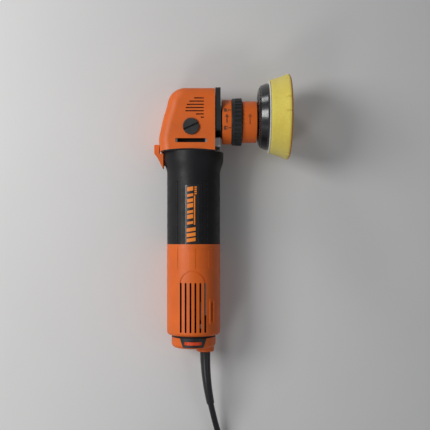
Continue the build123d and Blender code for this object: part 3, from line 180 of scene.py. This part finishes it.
def moulded(name, colour, rough=0.45, grain=2600, relief=0.18, wear_and_highlight=None, mottle=0.07, marks=None,
            recess_shade=None, **constants):
    """Moulded plastic: fine spark texture, faint flow clouds, handling shine, and edges made lighter by wear
    and by painted highlight.

    marks colours what stands past a radius from the spindle; painted shade darkens what is nearer the
    tool's middle plane.
    """
    t = Tree(name)
    clouds = t.noise(38, 4)
    tone = t.blend(t.remap(clouds, 0.3, 0.7), shade(colour, 1 - mottle), shade(colour, 1 + mottle))
    # painted shade: darker nearer the tool's middle plane, as in the floor of the plugs' slot
    if recess_shade:
        level, recess_shade_colour = recess_shade
        height = t.math("ABSOLUTE", t.node("SeparateXYZ", {0: t.machine()}).outputs[2])
        tone = t.blend(t.math("LESS_THAN", height, level * MM), tone, recess_shade_colour)
    if marks:
        radius, mark_colour = marks
        parts = t.node("SeparateXYZ", {0: t.machine()})
        reach = t.math("POWER", t.math("ADD", t.math("MULTIPLY", parts.outputs[1], parts.outputs[1]),
                                       t.math("MULTIPLY", parts.outputs[2], parts.outputs[2])), 0.5)
        tone = t.blend(t.math("GREATER_THAN", reach, radius * MM), tone, mark_colour)
    # edges lighter: wear and painted highlight
    if wear_and_highlight:
        patchy = t.remap(t.noise(260, 3), 0.38, 0.62)
        wear_and_highlight_share = t.math("MULTIPLY", t.math("MULTIPLY", t.edges(0.0006), patchy), 0.75)
        tone = t.blend(wear_and_highlight_share, tone, wear_and_highlight)
    speckle = t.noise(grain, 2)
    shine = t.remap(t.noise(90, 5), 0.3, 0.7, rough - 0.06, rough + 0.07)
    normal = t.bump(speckle, relief, 0.0002)
    return t.surface(tone, shine, normal, **constants)


def metal(name, colour, rough=0.3, stretch=None, relief=0.12, cast=False, wear_and_highlight=None, shade_under_cover=None):
    """Metal: turned or drawn lines along one direction, or the pitted skin of a casting.

    With a shade colour given, only the mouth's rim and the face seen through the cover's window stay bare
    metal; the rest of the case takes that colour as painted shade under the cover, turned warm behind the
    vents as a painted reflection of the orange cover.
    """
    t = Tree(name)
    lines = t.noise(900, 3, t.stretched(stretch or (1, 1, 1)))
    stain = t.remap(t.noise(45, 5), 0.3, 0.75)
    tone = t.blend(stain, shade(colour, 0.88), shade(colour, 1.06))
    # edges lighter: wear and painted highlight
    if wear_and_highlight:
        tone = t.blend(t.math("MULTIPLY", t.edges(0.0005), 0.6), tone, wear_and_highlight)
    shine = t.remap(t.math("ADD", lines, t.noise(120, 3)), 0.7, 1.3, rough - 0.07, rough + 0.1)
    height = t.math("ADD", lines, t.math("MULTIPLY", t.noise(420, 5), 1.6)) if cast else lines
    bare = 1.0
    # painted shade: the case is darkened under its cover; only its rim and the face behind the window stay
    # bare metal
    if shade_under_cover:
        x, y, z = t.node("SeparateXYZ", {0: t.machine()}).outputs
        rim = t.math("GREATER_THAN", x, RIM_START_X * MM)
        from_window = t.math("ABSOLUTE", t.math("ADD", y, -WINDOW_Y * MM))
        window = t.math("MULTIPLY", t.math("LESS_THAN", from_window, WINDOW_REACH * MM),
                        t.math("GREATER_THAN", t.math("ABSOLUTE", z), WINDOW_FACE_Z * MM))
        bare = t.math("MAXIMUM", rim, window)
        # behind the vents the painted shade turns warm: a painted reflection of the orange cover
        shade_under_cover = t.blend(t.math("GREATER_THAN", y, VENTS_LOW_Y * MM), shade_under_cover, WARM_SHADE_REFLECTION)
        tone = t.blend(bare, shade_under_cover, tone)
    return t.surface(tone, shine, t.bump(height, relief, 0.0002), Metallic=bare)


def coated(name, colour, rough):
    """Painted or lacquered sheet: orange-peel waviness under a clear coat."""
    t = Tree(name)
    tone = t.blend(t.remap(t.noise(60, 4), 0.3, 0.7), shade(colour, 0.85), shade(colour, 1.2))
    # edges lighter grey: wear and painted highlight
    tone = t.blend(t.math("MULTIPLY", t.edges(0.0005), 0.35), tone, rgb(0.32, 0.32, 0.33))
    peel = t.bump(t.noise(1200, 2), 0.1, 0.0002)
    return t.surface(tone, t.remap(t.noise(150, 4), 0.3, 0.7, rough - 0.04, rough + 0.07), peel,
                     Coat_Weight=0.35, Coat_Roughness=0.12)


def rubbery(name, colour, rough):
    """Soft moulded rubber or cable sheath, with dust and scuffs."""
    t = Tree(name)
    dust = t.remap(t.noise(70, 5), 0.48, 0.78)
    tone = t.blend(t.math("MULTIPLY", dust, 0.35), colour, shade(colour, 2.1))
    skin = t.noise(1900, 3)
    return t.surface(tone, t.remap(t.noise(130, 4), 0.3, 0.7, rough - 0.1, rough + 0.1),
                     t.bump(skin, 0.22, 0.0002))


ORANGE = rgb(0.72, 0.125, 0.006)
PALE_ORANGE = rgb(0.88, 0.28, 0.05)
orange = moulded("orange_plastic", ORANGE, 0.5, relief=0.12, wear_and_highlight=PALE_ORANGE)
neck_orange = moulded("orange_neck", ORANGE, 0.48, relief=0.12, wear_and_highlight=PALE_ORANGE,
                      marks=(NECK_MARKS_R, rgb(0.16, 0.035, 0.01)))
head_orange = moulded("orange_head", ORANGE, 0.48, relief=0.12, wear_and_highlight=PALE_ORANGE,
                      marks=(HEAD_MARKS_R, rgb(0.36, 0.06, 0.006)))
grip_black = moulded("black_grip", rgb(0.0125, 0.0125, 0.014), 0.46, grain=2100, relief=0.3,
                     wear_and_highlight=rgb(0.09, 0.09, 0.095), mottle=0.2, Specular_IOR_Level=0.2)
ring_black = moulded("black_ring", rgb(0.013, 0.013, 0.014), 0.42, wear_and_highlight=rgb(0.1, 0.1, 0.105), mottle=0.2)
# the floor of the plugs' slot is darkened with painted shade
plug_grey = moulded("grey_plug_plastic", rgb(0.034, 0.032, 0.031), 0.4, relief=0.2,
                    wear_and_highlight=rgb(0.13, 0.13, 0.13), mottle=0.12, recess_shade=(SLOT_FLOOR_Z, rgb(0.004, 0.004, 0.004)))
inner_grey = moulded("grey_plastic", rgb(0.05, 0.05, 0.053), 0.5, wear_and_highlight=rgb(0.14, 0.14, 0.14))
fan_white = moulded("fan_nylon", rgb(0.3, 0.3, 0.28), 0.5)
dial_red = moulded("dial_red", rgb(0.72, 0.06, 0.008), 0.38, relief=0.1, wear_and_highlight=rgb(0.9, 0.22, 0.08))
label_black = moulded("label_film", rgb(0.014, 0.014, 0.016), 0.3, relief=0.06, mottle=0.15,
                      Coat_Weight=0.3, Coat_Roughness=0.15)
ink_orange = moulded("label_ink", rgb(0.86, 0.23, 0.015), 0.4, relief=0.08, mottle=0.05)
boot_rubber = rubbery("boot_rubber", rgb(0.018, 0.018, 0.02), 0.36)
sheath = rubbery("cable_sheath", rgb(0.017, 0.017, 0.019), 0.34)
plug_rubber = rubbery("plug_vinyl", rgb(0.018, 0.018, 0.02), 0.52)
plate_gloss = coated("plate_lacquer", rgb(0.012, 0.013, 0.014), 0.24)
cap_paint = coated("cap_paint", rgb(0.014, 0.014, 0.015), 0.42)
casting = metal("cast_alloy", rgb(0.62, 0.62, 0.63), 0.36, relief=0.4, cast=True, wear_and_highlight=rgb(0.85, 0.85, 0.85))
# the gear case is darkened under its cover with painted shade
case_casting = metal("case_alloy", rgb(0.62, 0.62, 0.63), 0.36, relief=0.4, cast=True,
                     wear_and_highlight=rgb(0.85, 0.85, 0.85), shade_under_cover=rgb(0.012, 0.012, 0.013))
steel = metal("turned_steel", rgb(0.52, 0.52, 0.53), 0.26, stretch=(4, 0.4, 0.4))
bright = metal("ground_steel", rgb(0.7, 0.7, 0.71), 0.18, stretch=(3, 0.5, 0.5), relief=0.06)
stack = metal("lamination_steel", rgb(0.2, 0.2, 0.21), 0.45, stretch=(0.3, 3, 0.3), relief=0.5)
copper = metal("copper_wire", rgb(0.72, 0.26, 0.11), 0.35, stretch=(2, 0.3, 2), relief=0.6)
brass = metal("brass", rgb(0.74, 0.52, 0.2), 0.3, relief=0.1)
pin_nickel = metal("pin_nickel", rgb(0.66, 0.64, 0.6), 0.2, stretch=(3, 0.3, 3), relief=0.05)
carbon = metal("carbon", rgb(0.05, 0.05, 0.05), 0.6, relief=0.2)
board_green = coated("board_lacquer", rgb(0.02, 0.13, 0.05), 0.35)
chip_black = moulded("component_resin", rgb(0.03, 0.03, 0.032), 0.5, mottle=0.3)


def hook_tape():
    t = Tree("hook_tape")
    tips = t.cells(900)
    tone = t.blend(t.remap(tips, 0.1, 0.5), rgb(0.04, 0.04, 0.042), rgb(0.012, 0.012, 0.013))
    return t.surface(tone, t.remap(tips, 0, 0.6, 0.55, 0.9), t.bump(tips, 0.7, 0.0005))


def loop_pile():
    """White loop velour: curled fibres in small tufts."""
    t = Tree("loop_pile")
    curl = t.noise(1300, 4, roughness=0.7)
    tufts = t.cells(620)
    height = t.math("SUBTRACT", curl, tufts)
    shadow = t.remap(t.math("ADD", curl, tufts), 0.6, 1.15)
    tone = t.blend(shadow, rgb(0.86, 0.86, 0.83), rgb(0.6, 0.59, 0.55))
    return t.surface(tone, t.remap(curl, 0.3, 0.7, 0.85, 1.0), t.bump(height, 0.6, 0.0005),
                     Sheen_Weight=0.4, Sheen_Roughness=0.5)


def open_foam():
    """Cut open-cell foam: pores between thin struts, their centres darkened as painted shade; an orange band
    round the side just short of the amber working face.
    """
    t = Tree("foam")
    pores = t.cells(820)
    small = t.cells(1900)
    struts = t.math("ADD", pores, t.math("MULTIPLY", small, 0.5))
    clouds = t.remap(t.noise(30, 4), 0.3, 0.7)
    tone = t.blend(clouds, rgb(0.76, 0.60, 0.09), rgb(0.82, 0.68, 0.12))
    # pore centres darkened: painted shade in the pores
    tone = t.blend(t.remap(struts, 0.75, 0.25, 0.0, 0.42), tone, rgb(0.50, 0.34, 0.03))
    depth = t.node("SeparateXYZ", {0: t.machine()}).outputs[0]
    wander = t.math("MULTIPLY", t.math("SUBTRACT", t.noise(160, 2), 0.5), 0.0007)
    wandered = t.math("ADD", depth, wander)
    edge_line = t.remap(wandered, (FACE_X - 2.2) * MM, (FACE_X - 1.6) * MM)
    face = t.remap(wandered, (FACE_X - 0.9) * MM, (FACE_X - 0.3) * MM)
    tone = t.blend(edge_line, tone, rgb(0.72, 0.22, 0.01))
    tone = t.blend(face, tone, rgb(0.74, 0.40, 0.03))
    return t.surface(tone, t.remap(struts, 0.2, 0.9, 0.82, 1.0), t.bump(struts, 0.55, 0.0006),
                     Sheen_Weight=0.25, Sheen_Roughness=0.6)


def webbing():
    """Woven tie: ribs across the strap and a brushed nap."""
    t = Tree("tie_webbing")
    weave = t.node("TexWave", {"Vector": t.place(), "Scale": 420, "Distortion": 1.5, "Detail": 2}).outputs[0]
    nap = t.noise(1500, 3)
    height = t.math("ADD", weave, nap)
    tone = t.blend(t.remap(height, 0.6, 1.5), rgb(0.012, 0.012, 0.013), rgb(0.05, 0.05, 0.052))
    return t.surface(tone, t.remap(nap, 0.3, 0.7, 0.75, 0.95), t.bump(height, 0.6, 0.0004),
                     Sheen_Weight=0.3)


def paper_floor():
    t = Tree("floor")
    tone = t.blend(t.remap(t.noise(3, 4), 0.3, 0.7), rgb(0.74, 0.735, 0.725), rgb(0.78, 0.775, 0.765))
    return t.surface(tone, t.remap(t.noise(9, 3), 0.3, 0.7, 0.7, 0.85))


finishes = {
    orange: "gear_cover rear_shell end_cap switch_slider",
    neck_orange: "neck_ring",
    head_orange: "head_housing",
    grip_black: "motor_housing rear_frame",
    ring_black: "lock_ring dial_bezel",
    plug_grey: "side_plugs",
    inner_grey: "air_baffle switch_rod power_switch cord_clamp speed_pot",
    fan_white: "cooling_fan",
    dial_red: "speed_dial",
    label_black: "label_plates",
    boot_rubber: "cord_boot",
    sheath: "lead_tail cord_lead cord_tail cord_coil",
    plug_rubber: "plug_body",
    plate_gloss: "backing_plate",
    cap_paint: "bearing_cap",
    case_casting: "gear_case",
    casting: "orbit_drive",
    steel: "spindle_shaft bevel_gear pinion_gear armature_shaft counterweight bearing_retainer lock_clip "
           "pad_spindle brush_springs",
    bright: "head_bearing spindle_bearing spindle_end_bearing orbit_bearing front_motor_bearing "
            "rear_motor_bearing plate_screw long_screws small_screws",
    stack: "stator_core armature_core",
    copper: "stator_coils armature_windings commutator",
    brass: "brush_holders",
    pin_nickel: "plug_pins",
    carbon: "carbon_brushes",
    board_green: "speed_board",
    chip_black: "board_parts",
    hook_tape(): "hook_face",
}
for finish, names in finishes.items():
    for name in names.split():
        node = nodes[name]
        if not node.material_slots:
            node.data.materials.append(finish)
        for slot in node.material_slots:
            slot.link = "OBJECT"
            slot.material = finish


# ---- building pieces ----------------------------------------------------------------------------
def piece(name, bm, finish, body, sharp=40, moved=to_row):
    """Turns a bmesh drawn in machine millimetres into a piece that rides on a body."""
    mesh = bpy.data.meshes.new(name)
    bmesh.ops.recalc_face_normals(bm, faces=bm.faces)
    bm.to_mesh(mesh)
    bm.free()
    mesh.transform((moved or Matrix.Identity(4)) @ Matrix.Scale(MM, 4))
    mesh.shade_smooth()
    mesh.set_sharp_from_angle(angle=radians(sharp))
    mesh.materials.append(finish)
    made = bpy.data.objects.new(name, mesh)
    bpy.context.scene.collection.objects.link(made)
    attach(made, body)
    return made


def lathe(profile, centre_y, segments, shape):
    """A closed form turned about a line along the spindle from (x, radius) pairs, first and last on it.

    shape moves each point of a ring, given its x, its radius and its angle.
    """
    bm = bmesh.new()
    rings = []
    for x, r in profile:
        if r == 0:
            rings.append([bm.verts.new((x, centre_y, 0))])
            continue
        ring = []
        for i in range(segments):
            angle = 2 * pi * i / segments
            px, pr = shape(x, r, angle)
            ring.append(bm.verts.new((px, centre_y + pr * cos(angle), pr * sin(angle))))
        rings.append(ring)
    for a, b in zip(rings, rings[1:]):
        for i in range(segments):
            j = (i + 1) % segments
            corners = [a[0]] if len(a) == 1 else [a[i], a[j]]
            corners += [b[0]] if len(b) == 1 else [b[j], b[i]]
            bm.faces.new(corners)
    return bm


def wobble(angle, along, scale, amount, seed):
    """Smooth repeatable unevenness round a turned form."""
    return amount * noise.noise(Vector((cos(angle) * scale, sin(angle) * scale, along * 0.1 + seed)))


# ---- the pad's soft layers ----------------------------------------------------------------------
SEGMENTS = 420
SIDE_START_X, SIDE_START_R, SIDE_HOLLOW = 88.2, 42.1, 0.5
NICK_START_X, NICK_RUN = 103.5, 3.0
NICKS = [radians(a) for a in (36.4, 71.4, 91.0, 158.0, 221.0, 262.0, 318.0)]
NICK_HALF, NICK_DEPTH = 1.2, 2.2


def foam_shape(x, r, angle):
    """The foam's unevenness, and the nicks cut into its working edge."""
    r += wobble(angle, x, 3.1, 0.22, 4.0) + wobble(angle, x, 14.0, 0.1, 9.0)
    if x > FACE_X - 0.2 and r < RIM:
        x += min(0.0, wobble(angle, r, 2.4, 0.25, 2.0) - 0.1) * (r / RIM)
    near_face = max(0.0, min(1.0, (x - NICK_START_X) / NICK_RUN))
    for nick in NICKS:
        gap = abs((angle - nick + pi) % (2 * pi) - pi) * r
        if r > RIM - 3 and gap < 2.5 * NICK_HALF:
            r -= NICK_DEPTH * near_face * max(0.0, 1 - (gap / NICK_HALF) ** 2)
    return x, r


side_angle = atan(0.3486)                         # the side widens by this much for each mm of depth
foam_profile = [(BACK_X, 0), (BACK_X, 14), (BACK_X, 28), (BACK_X, 40.6), (BACK_X + 0.3, 41.6)]
touch = (FACE_X - EDGE - EDGE * sin(side_angle), RIM + EDGE * cos(side_angle))
for step in range(13):
    share = step / 12
    hollow = SIDE_HOLLOW * sin(pi * share)
    foam_profile.append((SIDE_START_X + (touch[0] - SIDE_START_X) * share,
                         SIDE_START_R + (touch[1] - SIDE_START_R) * share - hollow))
for step in range(1, 15):
    angle = pi / 2 + side_angle - (pi / 2 + side_angle) * step / 14
    foam_profile.append((FACE_X - EDGE + EDGE * cos(angle), RIM + EDGE * sin(angle)))
foam_profile += [(FACE_X, r) for r in (44, 40, 36, 30, 24, 18, 12, 6, 0)]
foam_form = lathe(foam_profile, PAD_Y, SEGMENTS, foam_shape)
foam = piece("foam_pad_soft", foam_form, open_foam(), "pad", 60)
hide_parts("foam_pad")


def pile_shape(x, r, angle):
    """Ragged cut edge of the loop layer."""
    if r > 40:
        r += wobble(angle, x, 30.0, 0.28, 1.0) + wobble(angle, x, 7.0, 0.2, 6.0) - 0.25
    return x, r


# the loop layer's section, from its back to the foam
pile_profile = [(86.1, 0), (86.1, 20), (86.1, 41.3), (86.3, 41.9), (86.75, 42.2), (87.2, 42.0), (87.4, 41.5),
                (87.4, 20), (87.4, 0)]
pile_form = lathe(pile_profile, PAD_Y, SEGMENTS, pile_shape)
pile = piece("loop_layer_pile", pile_form, loop_pile(), "pad", 60)
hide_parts("loop_layer")


# ---- label graphic: plain slanted bars laid on the label film -----------------------------------
LABEL_HALF_X, LABEL_HALF_Z = 30.5, 31.1           # the film's oval section
BAR_SINK, BAR_LIFT, BAR_STEPS = 0.05, 0.09, 6
BROAD_STARTS = (-139.4, -133.6, -127.8)
NARROW_WIDTHS = (3.0, 4.6, 3.0, 4.6, 3.8, 3.0, 4.6)


def bar(bm, x0, x1, y0, y1, slant, side):
    """A thin closed bar on the label's curve from x0 to x1 and y0 to y1, its sides leaning by slant."""
    rows = []
    for share in [i / BAR_STEPS for i in range(BAR_STEPS + 1)]:
        x = x0 + (x1 - x0) * share
        lean = slant * share
        for lift in (-BAR_SINK, BAR_LIFT):
            z = side * (LABEL_HALF_Z * sqrt(1 - (x / LABEL_HALF_X) ** 2) + lift)
            rows.append([bm.verts.new((x, y0 + lean, z)), bm.verts.new((x, y1 + lean, z))])
    for i in range(BAR_STEPS):
        low, top, low2, top2 = rows[2 * i: 2 * i + 4]
        bm.faces.new((low[0], low[1], low2[1], low2[0]))
        bm.faces.new((top[0], top[1], top2[1], top2[0]))
        bm.faces.new((low[0], top[0], top2[0], low2[0]))
        bm.faces.new((low[1], top[1], top2[1], low2[1]))
    for i in (0, 2 * BAR_STEPS):
        bm.faces.new((rows[i][0], rows[i][1], rows[i + 1][1], rows[i + 1][0]))


for side, label in ((1, "near"), (-1, "far")):
    bm = bmesh.new()
    for y in BROAD_STARTS:
        bar(bm, -7.2, 2.9, y, y + 4.0, 1.6, side)
    for i, width in enumerate(NARROW_WIDTHS):
        start = -119.6 + 6.2 * i                      # a row of narrower ones
        bar(bm, -6.6, 0.2, start, start + width, 1.2, side)
    bar(bm, 1.1, 2.5, -119.8, -87.0, 0.2, side)       # underline
    for i in range(4):
        start = -85.8 + 2.4 * i
        bar(bm, 1.6, 4.2, start, start + 1.6, 0.4, side)
    piece("label_graphic_" + label, bm, ink_orange, "housing")

# ---- mains lead ---------------------------------------------------------------------------------
CORD = 3.5
# points in mm: from the boot's tip to the coil, and from the coil to the plug
LEAD = [(-14.282, -190.517, 23.320), (-7.6, -216.2, 14.6), (1.5, -242.0, 6.5), (11.7, -267.4, 3.7)]
TAIL = [(10.3, -265.8, 22.0), (25.3, -276.0, 14.6), (34.0, -288.5, 8.6), (39.0, -302.5, 6.9),
        (39.0, -317.0, 6.9)]
COIL = (-37.4, -306.5)
INNER, OUTER, LAYERS, LAYER_RISE, FLOOR_Z = 28.0, 59.5, 4, 7.0, 3.6
ENTRY, LEAVE = 20.0, 60.0                         # where the lead joins the outmost turn, in degrees
CHANGE = 0.3                                      # turns on each side of a change of layer that rise
TURNS = 18 - (LEAVE - ENTRY) / 360
PER_TURN = 24
count = round(TURNS * PER_TURN)
coil_points = []
for i in range(count + 1):
    turned = TURNS * i / count
    layer_share = turned / TURNS * LAYERS
    layer = min(int(layer_share), LAYERS - 1)
    within = layer_share - layer
    if layer % 2:
        within = 1 - within
    radius = OUTER + (INNER - OUTER) * within
    height = FLOOR_Z + LAYER_RISE * layer
    to_change = (layer_share - round(layer_share)) * TURNS / LAYERS
    if 0 < round(layer_share) < LAYERS and abs(to_change) < CHANGE:
        rise = (to_change + CHANGE) / (2 * CHANGE)
        height = FLOOR_Z + LAYER_RISE * (round(layer_share) - 1 + rise * rise * (3 - 2 * rise))
    angle = radians(ENTRY - 360 * turned)
    coil_points.append((COIL[0] + radius * cos(angle), COIL[1] + radius * sin(angle), height))

curve = bpy.data.curves.new("mains_lead", "CURVE")
curve.dimensions = "3D"
curve.bevel_depth = CORD * MM
curve.bevel_resolution = 5
curve.resolution_u = 5
curve.use_fill_caps = True
route = LEAD + coil_points + TAIL
spline = curve.splines.new("NURBS")
spline.points.add(len(route) - 1)
for point, place in zip(spline.points, route):
    point.co = (*[v * MM for v in place], 1)
spline.order_u = 3
spline.use_endpoint_u = True
curve.materials.append(sheath)
lead = bpy.data.objects.new("mains_lead", curve)
bpy.context.scene.collection.objects.link(lead)
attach(lead, "housing")
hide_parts("cord_lead", "cord_coil", "cord_tail")


TIE_HALF_WIDTH, TIE_THICK, LAP_THICK = 6.5, 0.9, 0.8


# ties round the coil: woven strap, its end lapped over itself
def tie(name, angle):
    bm = bmesh.new()
    reach = (OUTER - INNER) / 2 + CORD + 0.1
    low, high, corner = 0.08, FLOOR_Z + (LAYERS - 1) * LAYER_RISE + CORD, 3.4
    section = []
    for cx, cz, start in ((reach - corner, low + corner, -90), (reach - corner, high - corner, 0),
                          (corner - reach, high - corner, 90), (corner - reach, low + corner, 180)):
        for step in range(7):
            a = radians(start + 15 * step)
            section.append((cx + corner * cos(a), cz + corner * sin(a), cos(a), sin(a)))
    out = Vector((cos(radians(angle)), sin(radians(angle)), 0))
    across = Vector((-out.y, out.x, 0))
    middle = Vector((*COIL, 0)) + out * (INNER + OUTER) / 2

    def loop(points, thickness, lift):
        rings = []
        for u, w, nu, nw in points:
            ring = []
            for s, depth in ((-1, lift), (-0.92, lift + thickness), (0.92, lift + thickness), (1, lift)):
                grow = depth if nw > -0.3 else 0.02
                p = middle + out * (u + nu * grow) + across * (s * TIE_HALF_WIDTH)
                ring.append(bm.verts.new((p.x, p.y, max(0.02, w + nw * grow))))
            rings.append(ring)
        return rings

    rings = loop(section, TIE_THICK, 0.05)
    for a, b in zip(rings, rings[1:] + rings[:1]):
        for i in range(4):
            bm.faces.new((a[i], a[(i + 1) % 4], b[(i + 1) % 4], b[i]))
    lap = loop(section[7:19], LAP_THICK, TIE_THICK + 0.08)
    for a, b in zip(lap, lap[1:]):
        for i in range(4):
            bm.faces.new((a[i], a[(i + 1) % 4], b[(i + 1) % 4], b[i]))
    bm.faces.new(lap[0])
    bm.faces.new(lap[-1])
    return piece(name, bm, tie_cloth, "housing", 50, moved=None)


tie_cloth = webbing()
ties = [tie("coil_tie_a", 140), tie("coil_tie_b", 250)]

# finger grips on the plug's broad faces
plug_low, plug_high = [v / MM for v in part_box("plug_body")]
plug_x, plug_z = (plug_low.x + plug_high.x) / 2, (plug_low.z + plug_high.z) / 2
PLUG_HALF_Z, GRIP_START, GRIP_PITCH, GRIP_HALF_LENGTH, GRIP_TAPER = 6.0, 8.0, 3.6, 9.0, 0.7
bm = bmesh.new()
for i in range(6):
    y = plug_low.y + GRIP_START + GRIP_PITCH * i
    wide = GRIP_HALF_LENGTH - GRIP_TAPER * i
    for side in (1, -1):
        made = bmesh.ops.create_cube(bm, size=1.0)["verts"]
        for v in made:
            narrow = 0.82 if v.co.z * side > 0 else 1.0
            top = plug_z + side * (PLUG_HALF_Z + (0.62 if v.co.z * side > 0 else -1.4) - 0.03 * i)
            v.co = Vector((plug_x + v.co.x * 2 * wide * narrow, y + v.co.y * 1.7 * narrow, top))
bmesh.ops.bevel(bm, geom=bm.edges[:], offset=0.22, segments=2, affect="EDGES")
grips = piece("plug_grips", bm, plug_rubber, "housing", 50, moved=None)

# ---- floor and light ----------------------------------------------------------------------------
ground = bmesh.new()
bmesh.ops.create_grid(ground, x_segments=2, y_segments=2, size=4.0)
floor_mesh = bpy.data.meshes.new("floor")
ground.to_mesh(floor_mesh)
ground.free()
floor_mesh.materials.append(paper_floor())
floor = bpy.data.objects.new("floor", floor_mesh)
bpy.context.scene.collection.objects.link(floor)

world = bpy.data.worlds.new("studio")
world.use_nodes = True
world.node_tree.nodes["Background"].inputs["Color"].default_value = (0.93, 0.95, 1.0, 1)
world.node_tree.nodes["Background"].inputs["Strength"].default_value = 0.17
bpy.context.scene.world = world

for name, place, target, size, power in (
    ("key", (-0.86, 0.22, 0.70), (0.0, 0.02, 0.03), 0.42, 6.4),
    ("front", (-0.55, 1.00, 0.42), (0.03, 0.12, 0.04), 0.26, 1.9),
    ("fill", (0.60, -0.35, 0.95), (0.0, -0.02, 0.03), 0.70, 0.6),
    ("strip", (-0.55, -0.62, 0.72), (0.05, 0.10, 0.04), 0.24, 1.5),
):
    light = bpy.data.lights.new(name, "AREA")
    light.shape = "SQUARE"
    light.size = size
    light.energy = power
    lamp = bpy.data.objects.new(name, light)
    bpy.context.scene.collection.objects.link(lamp)
    lamp.location = place
    lamp.rotation_euler = (Vector(place) - Vector(target)).to_track_quat("Z", "Y").to_euler()
